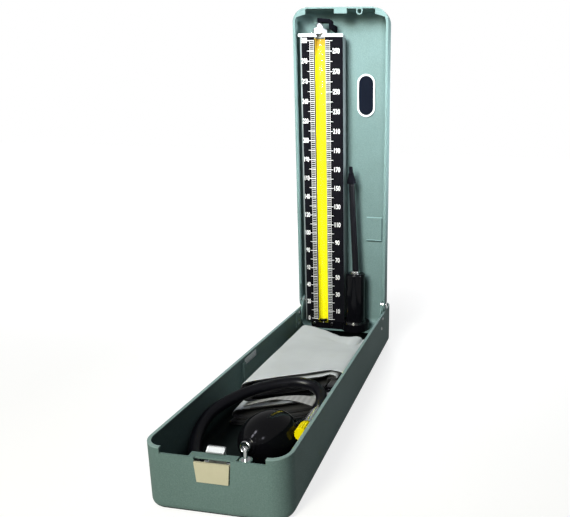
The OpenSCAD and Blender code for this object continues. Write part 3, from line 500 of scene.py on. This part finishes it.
def finish_cloth(name, colour, dark, stripes=0.0):
    """Close cotton cloth with a plain weave and a soft sheen; stripes is the share of dark rows."""
    f = Finish(name, colour, Roughness=0.9, Sheen_Weight=0.25, Sheen_Roughness=0.5)
    weave = f.group(WEAVE, Threads=2400.0)
    tone = ramp_of(f.tree, weave["Cloud"], [(0.3, dark), (0.68, colour)])
    if stripes:
        rows = f.group(WEAVE, Threads=1500.0)["Rows"]
        share = math_of(f.tree, "MULTIPLY", rows, stripes, clamp=True)
        tone = mix_of(f.tree, share, tone, tuple(c * 0.35 for c in colour))
    f.colour(tone)
    f.rough(weave["Height"], 0.8, 0.95)
    f.bump(weave["Height"], 0.00012, 0.5)
    return f.material


def finish_enamel(name, colour, low=0.12, high=0.3, gloss=0.5, depth=0.00003):
    """Glossy stoved enamel or moulded plastic with slight unevenness."""
    f = Finish(name, colour, IOR=1.45, Specular_IOR_Level=gloss)
    grime = f.group(GRIME, Size=60.0)
    worn = tuple(min(1.0, c * 1.6 + 0.004) for c in colour)
    f.colour(f.stained(grime["Mask"], 0.35, colour, worn))
    f.rough(grime["Fine"], low, high)
    f.bump(grime["Mask"], depth, 0.4)
    return f.material


def finish_trough():
    """Yellow trough behind the tube, with an amber tint near its top end."""
    f = Finish("yellow_plastic", (1.0, 0.9, 0.0), Roughness=0.5, Specular_IOR_Level=0.1)
    clear_below, full_above = 0.302, 0.319
    top_end = span_of(f.tree, f.axes()[2], clear_below, full_above)
    grime = f.group(GRIME, Size=70.0)
    tone = f.stained(grime["Mask"], 0.18, (1.0, 0.93, 0.01), (0.86, 0.76, 0.0))
    f.colour(f.stained(top_end, 0.95, tone, (0.55, 0.33, 0.02)))
    f.rough(grime["Fine"], 0.4, 0.6)
    return f.material


def finish_glass():
    """Clear glass of the tube, with a trace of dust."""
    f = Finish("clear_glass", (1.0, 1.0, 1.0), Metallic=0.0, IOR=1.47, Transmission_Weight=1.0,
               Alpha=0.16, Specular_IOR_Level=0.15)
    grime = f.group(GRIME, Size=90.0)
    f.rough(grime["Fine"], 0.0, 0.05)
    return f.material


def finish_print(name, level):
    """Screen print of the scale's numbers and lines, white or greyed."""
    f = Finish(name, (level, level, level), Roughness=0.6)
    grime = f.group(GRIME, Size=150.0)
    worn = tuple(level * c for c in (0.7, 0.7, 0.67))
    f.colour(f.stained(grime["Mask"], 0.3, (level, level, level), worn))
    f.rough(grime["Fine"], 0.5, 0.7)
    return f.material


def finish_label():
    """Plain silvery sticker, a little rubbed."""
    f = Finish("label", (0.9, 0.94, 0.97), Metallic=0.9)
    grime = f.group(GRIME, Size=160.0)
    f.colour(f.stained(grime["Mask"], 0.5, (0.93, 0.97, 1.0), (0.7, 0.76, 0.8)))
    f.rough(grime["Fine"], 0.14, 0.26)
    f.bump(grime["Fine"], 0.00003, 0.4)
    return f.material


paint = finish_case_paint("case_paint")
base_paint = finish_case_paint("base_paint", paint_floor_shade=True)
zinc = finish_metal("zinc_steel", (0.62, 0.66, 0.66), 0.32, (60, 900, 900))
chrome = finish_metal("nickel", (0.82, 0.83, 0.84), 0.14, (300, 300, 300), 0.15)
alloy = finish_metal("aluminium", (0.6, 0.62, 0.65), 0.45, (900, 900, 18), 0.3)
dull_alloy = finish_metal("dull_aluminium", (0.26, 0.295, 0.3), 0.66, (900, 900, 18), 0.3)
plate_metal = finish_bare_plate()
rubber = finish_rubber("black_rubber", (0.0025, 0.0025, 0.0035), 0.09, 0.15, 0.00002)
hose_rubber = finish_rubber("hose_rubber", (0.002, 0.002, 0.0035), 0.24, 0.36)
cloth = finish_cloth("cloth", (0.63, 0.665, 0.69), (0.555, 0.585, 0.605))
cloth_striped = finish_cloth("cloth_lower", (0.45, 0.455, 0.455), (0.34, 0.345, 0.345), 0.4)
lining = finish_cloth("cloth_lining", (0.009, 0.009, 0.013), (0.005, 0.005, 0.008))
trough_yellow = finish_trough()
knob_yellow = finish_enamel("knob_yellow", (0.9, 0.72, 0.0), 0.3, 0.45, 0.3)
black_enamel = finish_enamel("black_enamel", (0.002, 0.002, 0.003), 0.1, 0.2, 0.2)
black_face = finish_enamel("black_face", (0.003, 0.003, 0.0045), 0.85, 0.95, 0.05)
black_plastic = finish_enamel("black_plastic", (0.002, 0.002, 0.004), 0.8, 0.9, 0.05)
badge_enamel = finish_enamel("badge_enamel", (0.004, 0.006, 0.012), 0.85, 0.95, 0.06)
quicksilver = finish_metal("mercury_metal", (0.88, 0.89, 0.9), 0.06, (40, 40, 40), 0.05)
glass = finish_glass()
white_print = finish_print("white_print", 0.85)
grey_print = finish_print("grey_print", 0.55)
# Painted shadow for the trough's edges.
trough_edge_shadow = finish_enamel("trough_edge_shadow", (0.035, 0.028, 0.004), 0.5, 0.65, 0.1)
label_paper = finish_label()
satin = finish_metal("satin_nickel", (0.66, 0.68, 0.71), 0.45, (200, 200, 200), 0.15)
# Painted shadow and painted highlight for the border of the lid's pad.
pad_shadow_paint = finish_enamel("pad_painted_shadow", (0.045, 0.08, 0.08), 0.5, 0.65, 0.1)
pad_highlight_paint = finish_enamel("pad_painted_highlight", (0.25, 0.385, 0.385), 0.5, 0.65, 0.1)
rim_white = finish_enamel("badge_border", (0.72, 0.76, 0.8), 0.3, 0.45, 0.3)

NODE_FINISH = {
    "base_shell": base_paint, "lid_shell": paint, "lid_catch": paint, "lid_eye": paint,
    "lid_pad": paint, "latch_bracket": paint, "wall_clip": paint, "wall_label": label_paper,
    "hinge_bracket_left": paint, "hinge_bracket_right": paint, "hinge_pins": chrome,
    "hinge_washers": chrome, "bracket_rivets": chrome, "latch_plate": plate_metal,
    "latch_hook": satin, "latch_pin": zinc, "latch_spring": zinc, "guide_post": chrome,
    "cuff": cloth, "bladder": rubber, "bladder_nipple": rubber, "bulb": rubber,
    "inlet_valve": chrome, "release_valve": chrome, "release_screw": knob_yellow,
    "bulb_hose": hose_rubber,
    "badge_rim": rim_white, "badge_field": badge_enamel,
    "scale_plate": dull_alloy, "scale_face": black_face,
    "scale_trough": trough_yellow, "top_rail": alloy, "rail_screws": chrome, "glass_tube": glass,
    "mercury": quicksilver, "tube_seal": rubber, "tube_nut": satin, "tube_cap": satin,
    "tube_clip": black_plastic, "foot_block": black_enamel, "foot_screws": chrome,
    "reservoir": black_enamel, "reservoir_collar": chrome, "reservoir_cap": black_enamel,
    "reservoir_nipple": chrome, "gauge_hose": hose_rubber, "hose_connector": black_plastic,
}
for node_name, finish in NODE_FINISH.items():
    held = nodes[node_name]
    held.data.materials.clear()
    held.data.materials.append(finish)


# ---------- bulb hose ----------

HOSE_ROUTE = [
    (35.6, -72, 29), (35.6, -66, 29), (35, -59, 29.8), (32.5, -51.5, 31.5), (27, -45, 33.5),
    (18, -41.5, 35.2), (7, -43, 36), (-4, -49, 36), (-15, -57.5, 35.8), (-25.5, -67.5, 34.5),
    (-34, -79, 32.3), (-40.5, -92, 29.5), (-41.8, -103, 26), (-40.5, -114, 22), (-36, -126, 18),
    (-29, -137, 14), (-19, -146, 10.5), (-6, -152, 8), (8, -154, 6.5), (21, -152, 6.3),
    (32, -145.5, 6.3), (39, -135, 6.3), (41.6, -121, 6.3), (41.6, -106, 6.3), (41.6, -92, 6.5),
    (41.4, -79, 8), (40.8, -67, 10.8), (39.8, -56, 14.8), (38.6, -47, 18.6), (38, -40, 20.1),
    (38, -33.4, 20.1)]


def make_bulb_hose():
    """Rubber hose from the release valve to the bladder, along the route of its solid."""
    hose = curve_tube("hose_bulb_to_bladder", HOSE_ROUTE, 4.5, hose_rubber, "base")
    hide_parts("bulb_hose")


make_bulb_hose()


# ---------- bulb ----------

BULB_PLACE = (Matrix.Translation(mm(11, -107, 22.6)) @ Matrix.Rotation(math.radians(-12), 4, "Z")
              @ Matrix.Rotation(math.radians(75), 4, "X"))


def make_bulb():
    """Squeeze bulb: an egg of soft rubber, a little uneven, with thick lips at both necks."""
    rings, sides = 40, 72
    half, widest, neck, dent_depth = 26.0, 19.85, 6.4, 0.35
    egg = []
    for i in range(rings + 1):
        t = math.sin(math.radians(-90 + 180 * i / rings)) * 0.985
        egg.append((math.sqrt(1 - t * t) * (1 - 0.06 * t) * widest, t * half))
    lip = [(6.2, half * 0.955), (6.0, half * 0.985), (4.6, half * 0.99)]
    profile = [(r, -z) for r, z in reversed(lip)] + [p for p in egg if p[0] > neck] + lip
    points = []
    for radius, along in profile:
        for k in range(sides):
            a = 2 * math.pi * k / sides
            dent = noise.noise(Vector((math.cos(a), math.sin(a), along / 14)) * 0.8) * dent_depth
            r = radius + (dent - dent_depth if radius > 8 else 0)
            points.append((r * math.cos(a), r * math.sin(a), along))
    mesh = mesh_of("bulb_skin", points, ring_faces(len(profile), sides))
    mesh.transform(BULB_PLACE)
    skin = piece("bulb_skin", mesh, rubber, "base")
    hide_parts("bulb")


def make_inlet_ring():
    """Rolled rim of the inlet valve, standing round its air hole."""
    sides, turns = 12, 48
    ring_r, half_wide, half_high, along = 3.5, 0.85, 0.6, 28.1
    points, faces = [], []
    for k in range(turns):
        a = 2 * math.pi * k / turns
        for i in range(sides):
            b = 2 * math.pi * i / sides
            r = ring_r + half_wide * math.cos(b)
            points.append((r * math.cos(a), r * math.sin(a), along + half_high * math.sin(b)))
    for k in range(turns):
        for i in range(sides):
            here, there = k * sides, (k + 1) % turns * sides
            i2 = (i + 1) % sides
            faces.append((here + i, there + i, there + i2, here + i2))
    mesh = mesh_of("inlet_ring", points, faces)
    mesh.transform(BULB_PLACE)
    piece("inlet_ring", mesh, chrome, "base")


make_bulb()
make_inlet_ring()


# ---------- cuff ----------

def cloth_band(name, section, front, rear, thick, materials,
               steps=5, rows=36, wave=0.5, seed=0.0, droop=0.0):
    """Folded cloth: a line in the X-Z plane, carried from a front edge to a rear edge.
    front and rear give the Y at each point of the line. wave is the height of its unevenness in
    millimetres, and droop lowers the right side towards the rear."""
    line = smooth_line([(x, 0, z) for x, z in section], steps)
    points = []
    for j in range(rows + 1):
        for dot in line:
            y0, y1 = front(dot), rear(dot)
            y = y0 + (y1 - y0) * j / rows
            shift = wave * noise.noise(Vector((dot.x * 0.045 + seed, y * 0.03, seed)))
            ripple = wave * noise.noise(Vector((dot.x * 0.14, y * 0.09 + seed, 3.1)))
            behind, raised = part_way(y, 20, 65) ** 1.3, max(0.0, (dot.z - 18) / 20)
            sink = droop * behind * raised * part_way(dot.x, -32, 16)
            points.append((dot.x + 0.4 * ripple, y, dot.z + shift + 0.35 * ripple - sink))
    row = len(line)
    faces = [(j * row + i, j * row + i + 1, (j + 1) * row + i + 1, (j + 1) * row + i)
             for j in range(rows) for i in range(row - 1)]
    mesh = mesh_of(name, points, faces)
    band = piece(name, mesh, materials, "base")
    add_modifier(band, "SOLIDIFY", thickness=thick * MM, offset=0,
                 material_offset=1, material_offset_rim=1)
    add_modifier(band, "SUBSURF", levels=1, render_levels=1)
    return band


def slant(left, right, x0=-31.0, x1=30.0):
    """Edge of a cloth that runs from one Y at the left to another at the right."""
    def edge(dot):
        """The edge's Y at a point of the cloth's line."""
        return left + (right - left) * part_way(dot.x, x0, x1)
    return edge


def rear_edge(dot):
    """Rear edge of the top cloth: furthest back at the left, and nearest right of the middle."""
    places = [(-33, 90), (-24, 89), (-8, 85), (6, 80), (16, 75), (26, 70), (33, 73), (40, 78)]
    x = min(max(dot.x, places[0][0]), places[-1][0])
    for (x0, y0), (x1, y1) in zip(places, places[1:]):
        if x <= x1:
            t = (x - x0) / (x1 - x0)
            return y0 + (y1 - y0) * t * t * (3 - 2 * t)
    return places[-1][1]


def make_cuff():
    """Cuff folded into the base: the outer cloth wraps over the top and round the left side,
    shorter folds show under it at the front, and one flap lies low behind the bulb."""
    over = cloth_band(
        "cuff_outer_wrap",
        [(-4, 19.6), (-18, 19.8), (-27, 20.4), (-32.2, 23.4), (-33.2, 28), (-32.9, 33),
         (-30.6, 36.4), (-24, 37.5), (-10, 37.7), (8, 37.6), (24, 37.5), (33, 37.1),
         (39.5, 35.6), (41.8, 32.4), (40.2, 29.8), (34, 29.4), (27, 30)],
        slant(-56.5, -18), rear_edge, 1.5, [cloth, lining], seed=1.3, droop=6)
    inner = cloth_band(
        "cuff_inner_fold",
        [(26, 23.4), (8, 23.2), (-10, 23.4), (-25, 23.8), (-29.2, 26.4), (-28.2, 30.4),
         (-20, 32.4), (-8, 33.2), (8, 33.4), (22, 33.2), (29, 34.4), (34, 33.6), (35.6, 31.2)],
        slant(-55, -20), slant(74, 74), 1.5, [cloth, lining], seed=4.1)
    low = cloth_band(
        "cuff_low_folds",
        [(38, 8.6), (24, 8.4), (0, 8.2), (-22, 8.4), (-36, 9.4), (-38.5, 13), (-34, 16.2),
         (-22, 16.6), (0, 16.4), (22, 16.6), (38, 17.4), (42, 20.5), (41, 24.4), (36, 26.4),
         (29, 26.6)],
        slant(-62, -27), slant(80, 80), 1.6, [cloth, lining], seed=7.7)
    floor = cloth_band(
        "cuff_floor_fold",
        [(38, 3.2), (0, 3), (-38, 3.2), (-41.4, 4.6), (-38, 5.6), (-22, 5.3), (0, 5.2),
         (20, 5.4), (39, 5.6)],
        slant(-62, -30), slant(80, 80), 1.4, [lining, lining], seed=9.2)
    flap = cloth_band(
        "cuff_front_flap",
        [(-27, 22.4), (-18, 24.2), (-6, 25.4), (8, 25.6), (18, 24.4), (26, 22.4)],
        slant(-67, -56, -26, -4), slant(-59, -43, -20, 18), 1.3, [cloth_striped, lining],
        rows=14, wave=0.3, seed=2.2)
    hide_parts("cuff")


make_cuff()


def make_bladder():
    """Rubber bladder inside the cuff, with the rounded end that shows beside the folds."""
    under, thick, edge_r = 18.7, 2.6, 0.9
    outline = [(-30, -53), (-12, -48), (16, -31), (28, -20.5), (40, -20.5), (42, -17), (42, 66),
               (38, 69), (-28, 69), (-31, 66), (-31, -50)]
    mesh = bpy.data.meshes.new("bladder_bag")
    bag = bmesh.new()
    dots = [bag.verts.new(mm(x, y, under)) for x, y in outline]
    top = bmesh.ops.extrude_face_region(bag, geom=[bag.faces.new(dots)])
    raised = [g for g in top["geom"] if isinstance(g, bmesh.types.BMVert)]
    bmesh.ops.translate(bag, vec=mm(0, 0, thick), verts=raised)
    bmesh.ops.recalc_face_normals(bag, faces=bag.faces)
    bmesh.ops.bevel(bag, geom=list(bag.edges), offset=edge_r * MM, segments=3, affect="EDGES",
                    profile=0.5)
    bag.to_mesh(mesh)
    bag.free()
    bag_piece = piece("bladder_bag", mesh, rubber, "base")
    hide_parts("bladder")


make_bladder()


# ---------- latch spring ----------

def make_latch_spring():
    """Torsion spring round the latch pin, with one leg on the wall and one that follows the plate."""
    pin_y, pin_z, coil_r, pitch, turns, steps = -162.4, 27.8, 1.95, 0.9, 5, 16
    near_x, wall_y, plate_y, wire_r = 2.6, -165.1, -166.3, 0.4
    line = [Vector((near_x, wall_y, z)) for z in (21.6, 24.2)]
    for i in range(turns * steps + 1):
        a = 2 * math.pi * i / steps
        line.append(Vector((near_x + pitch * i / steps, pin_y - coil_r * math.cos(a),
                            pin_z + coil_r * math.sin(a))))
    far_x = near_x + pitch * turns
    line += [Vector((far_x, plate_y, z)) for z in (31.0, 31.6, 33.4, 35.2)]
    mesh = tube_mesh("latch_spring_wire", line, [wire_r] * len(line), sides=12)
    spring = piece("latch_spring_wire", mesh, zinc, None)
    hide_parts("latch_spring")
    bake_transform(spring)


make_latch_spring()


# ---------- scale ----------

PRINT_Y = FACE_Y - 0.05
PRESSURE_TOP = 300
MM_PER_MMHG = SCALE_H / PRESSURE_TOP


class Print:
    """Thin flat marks on the lid, for print and for painted shadow and highlight, gathered from
    four-sided patches and laid down as one piece.
    """

    def __init__(self):
        self.points, self.faces = [], []

    def patch(self, corners):
        """Adds a patch with its corners in millimetres, anticlockwise as seen from the front."""
        start = len(self.points)
        self.points += corners
        self.faces.append((start, start + 1, start + 2, start + 3))

    def bar(self, x0, x1, z0, z1, y):
        """Adds an upright rectangle."""
        self.patch([(x0, y, z0), (x1, y, z0), (x1, y, z1), (x0, y, z1)])

    def lay(self, name, material, slot="enamel"):
        """Makes the piece."""
        piece(name, mesh_of(name, self.points, self.faces), material, "lid", smooth=False)


def make_scale_lines():
    """A line for each 2 mm of mercury on both sides of the trough, a stronger one for each 10, the
    upright lines beside the trough, and strips of painted shadow along the trough's two edges."""
    away, long, half = 6.1, 7.2, 0.5
    tip = half * 0.3
    fine_long, fine_half, upright_half = 4.4, 0.3, 0.15
    main, fine, edges = Print(), Print(), Print()
    for value in range(0, PRESSURE_TOP + 1, 2):
        z = ZERO_Z + value * MM_PER_MMHG
        for side in (-1, 1):
            inner = TUBE_X + side * away
            if value % 10:
                ends = sorted((inner, inner + side * fine_long))
                fine.bar(*ends, z - fine_half, z + fine_half, PRINT_Y)
                continue
            outer = inner + side * long
            corners = [(inner, PRINT_Y, z - half), (outer, PRINT_Y, z - tip),
                       (outer, PRINT_Y, z + tip), (inner, PRINT_Y, z + half)]
            main.patch(corners if side > 0 else corners[::-1])
    for side in (-1, 1):
        for at in (6.2, 10.4):
            x = TUBE_X + side * at
            fine.bar(x - upright_half, x + upright_half, ZERO_Z, ZERO_Z + SCALE_H, PRINT_Y + 0.02)
    # Painted shadow along the trough's edges: a wider strip at the left, a narrow one at the right.
    for x0, x1 in ((-28.3, -27.0), (-17.0, -16.6)):
        edges.bar(x0, x1, ZERO_Z, ZERO_Z + SCALE_H + 1.5, PRINT_Y - 0.01)
    main.lay("scale_lines", white_print)
    edges.lay("trough_edge_shadows", trough_edge_shadow)
    fine.lay("scale_fine_lines", grey_print)


def make_scale_numbers():
    """Numbers from 0 to 300: multiples of 20 at the left of the trough, the others at its right."""
    texts = []
    for value in range(0, PRESSURE_TOP + 1, 10):
        label = bpy.data.curves.new("scale_number", "FONT")
        label.body = str(value)
        label.size = 0.0067
        label.align_x = "CENTER"
        label.align_y = "CENTER"
        label.extrude = 0.00004
        label.offset = 0.00016
        text = bpy.data.objects.new(f"scale_number_{value}", label)
        bpy.context.scene.collection.objects.link(text)
        x, narrow = (-38.5, 0.6) if value % 20 == 0 else (-5.6, 0.72)
        text.matrix_world = (Matrix.Translation(mm(x, PRINT_Y, ZERO_Z + value * MM_PER_MMHG))
                             @ Matrix.Rotation(math.radians(90), 4, "X")
                             @ Matrix.Scale(narrow, 4, (1, 0, 0)))
        texts.append(text)
    bpy.context.view_layer.update()
    mesh = bpy.data.meshes.new("scale_numbers")
    joined = bmesh.new()
    for text in texts:
        flat = text.to_mesh()
        flat.transform(text.matrix_world)
        joined.from_mesh(flat)
        text.to_mesh_clear()
        curve = text.data
        bpy.data.objects.remove(text)
        bpy.data.curves.remove(curve)
    joined.to_mesh(mesh)
    joined.free()
    piece("scale_numbers", mesh, white_print, "lid", smooth=False)


make_scale_lines()
make_scale_numbers()


def make_pad_border():
    """Painted shadow and painted highlight round the raised pad of the lid: painted shadow at its
    right and foot, painted highlight along its top and just above the foot.
    """
    left, right, foot, top, y = 22.7, 40.1, 119.15, 145.65, 147.06
    shadow_band, top_highlight, foot_highlight = 0.9, 0.8, 1.5
    dark, light = Print(), Print()
    dark.bar(right - shadow_band, right, foot, top - top_highlight, y)
    dark.bar(left, right - shadow_band, foot, foot + shadow_band, y)
    light.bar(left, right, top - top_highlight, top, y)
    light.bar(left, right - shadow_band, foot + shadow_band, foot + foot_highlight, y)
    dark.lay("pad_shadow", pad_shadow_paint, "case_paint")
    light.lay("pad_highlight", pad_highlight_paint, "case_paint")


make_pad_border()


# ---------- gauge hose ----------

def make_gauge_hose():
    """Short rubber hose on the reservoir, standing up beside the scale plate."""
    length, steps, foot_r, taper = 94, 40, 3.45, 0.4
    lean = math.radians(2.7)
    foot = Vector((13.8, 133.5, 88.3))
    up = Vector((-math.sin(lean), 0, math.cos(lean)))
    line = [foot + up * (length * i / steps) + Vector((0, 0.2 * math.sin(i * 0.16), 0))
            for i in range(steps + 1)]
    radii = [foot_r - taper * i / steps + 0.05 * math.sin(i * 0.9) for i in range(steps + 1)]
    radii[0] = radii[1] + 0.05
    mesh = tube_mesh("gauge_hose_tube", line, radii)
    hose = piece("gauge_hose_tube", mesh, hose_rubber, "lid")
    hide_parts("gauge_hose")


make_gauge_hose()


# ---------- floor, backdrop and light ----------

def shine_of(tree, rays):
    """1 for the rays that gloss and glass send out, and 0 for the others."""
    return math_of(tree, "MAXIMUM", rays.outputs["Is Glossy Ray"],
                   rays.outputs["Is Transmission Ray"])


def white_surface(name, base, lift):
    """Pale plain surface that reads as white to the camera but keeps a soft shadow.
    Its glow rises from lift near the object to full white further away."""
    made = bpy.data.materials.new(name)
    made.use_nodes = True
    tree = made.node_tree
    shader = tree.nodes["Principled BSDF"]
    shader.inputs["Base Color"].default_value = (base, base, base, 1)
    shader.inputs["Roughness"].default_value = 0.9
    rays = shader_node(tree, "ShaderNodeLightPath")
    mirrored = math_of(tree, "MULTIPLY", shine_of(tree, rays), SHINE)
    seen = math_of(tree, "MAXIMUM", rays.outputs["Is Camera Ray"], mirrored)
    place = shader_node(tree, "ShaderNodeTexCoord").outputs["Object"]
    away = shader_node(tree, "ShaderNodeVectorMath", operation="LENGTH")
    tree.links.new(place, away.inputs[0])
    rise = span_of(tree, away.outputs["Value"], 0.25, 0.8, lift, 1.0)
    glow = shader_node(tree, "ShaderNodeEmission")
    tree.links.new(math_of(tree, "MULTIPLY", seen, rise), glow.inputs["Strength"])
    both = shader_node(tree, "ShaderNodeAddShader")
    tree.links.new(shader.outputs[0], both.inputs[0])
    tree.links.new(glow.outputs[0], both.inputs[1])
    tree.links.new(both.outputs[0], tree.nodes["Material Output"].inputs["Surface"])
    return made


def make_stage(reach=6):
    """Plain pale floor that the object stands on."""
    mesh = bpy.data.meshes.new("floor")
    corners = [(-reach, -reach, 0), (reach, -reach, 0), (reach, reach, 0), (-reach, reach, 0)]
    mesh.from_pydata(corners, [], [(0, 1, 2, 3)])
    mesh.materials.append(white_surface("floor_white", 0.3, 0.78))
    floor = bpy.data.objects.new("floor", mesh)
    bpy.context.scene.collection.objects.link(floor)


def make_world():
    """White room to the camera and to shine, and a quieter grey for the light itself."""
    world = bpy.data.worlds.new("room")
    bpy.context.scene.world = world
    world.use_nodes = True
    tree = world.node_tree
    for old in list(tree.nodes):
        tree.nodes.remove(old)
    rays = shader_node(tree, "ShaderNodeLightPath")
    lit = shader_node(tree, "ShaderNodeBackground")
    lit.inputs["Color"].default_value = (0.9, 0.95, 1.0, 1)
    lit.inputs["Strength"].default_value = 0.06
    white = shader_node(tree, "ShaderNodeBackground")
    white.inputs["Color"].default_value = (1, 1, 1, 1)
    shine = shader_node(tree, "ShaderNodeBackground")
    shine.inputs["Strength"].default_value = SHINE
    mixed = shader_node(tree, "ShaderNodeMixShader")
    tree.links.new(shine_of(tree, rays), mixed.inputs["Fac"])
    tree.links.new(lit.outputs[0], mixed.inputs[1])
    tree.links.new(shine.outputs[0], mixed.inputs[2])
    final = shader_node(tree, "ShaderNodeMixShader")
    tree.links.new(rays.outputs["Is Camera Ray"], final.inputs["Fac"])
    tree.links.new(mixed.outputs[0], final.inputs[1])
    tree.links.new(white.outputs[0], final.inputs[2])
    out = shader_node(tree, "ShaderNodeOutputWorld")
    tree.links.new(final.outputs[0], out.inputs["Surface"])


def area_light(name, place, aim, size, power, tint=(1, 1, 1), spread=180):
    """Square lamp at a place in metres, turned to its aim, with its beam's spread in degrees."""
    data = bpy.data.lights.new(name, "AREA")
    data.size = size
    data.spread = math.radians(spread)
    data.energy = power
    data.color = tint
    lamp = bpy.data.objects.new(name, data)
    lamp.location = place
    lamp.rotation_mode = "QUATERNION"
    lamp.rotation_quaternion = (Vector(aim) - Vector(place)).to_track_quat("-Z", "Y")
    lamp.visible_camera = False
    bpy.context.scene.collection.objects.link(lamp)


make_stage()
make_world()
area_light("over_lid", (-0.06, -0.42, 0.57), (0.02, 0.15, 0.42), 0.3, 2.5, (0.92, 0.95, 1.0), 90)
area_light("front", (-0.13, -0.72, 0.47), (0, 0, 0.1), 0.22, 5.1, (1.0, 1.0, 0.84))
area_light("behind", (-0.12, 0.95, 0.42), (0, 0.17, 0.17), 0.25, 3.0)
area_light("beside_lid", (0.75, -0.1, 0.38), (0.05, 0.14, 0.25), 0.12, 0.35, (0.92, 0.96, 1.0), 24)
# Two narrow faint lamps, each aimed at the place on the bulb that mirrors it.
area_light("glint_left", (-0.131, -0.263, 0.552), (0.0101, -0.1256, 0.0381), 0.19, 0.0095,
           (0.88, 0.88, 1.0), 12)
area_light("glint_right", (0.278, -0.42, 0.42), (0.0161, -0.1268, 0.035), 0.19, 0.005,
           (0.88, 0.88, 1.0), 12)
bpy.context.scene.view_settings.view_transform = "Standard"
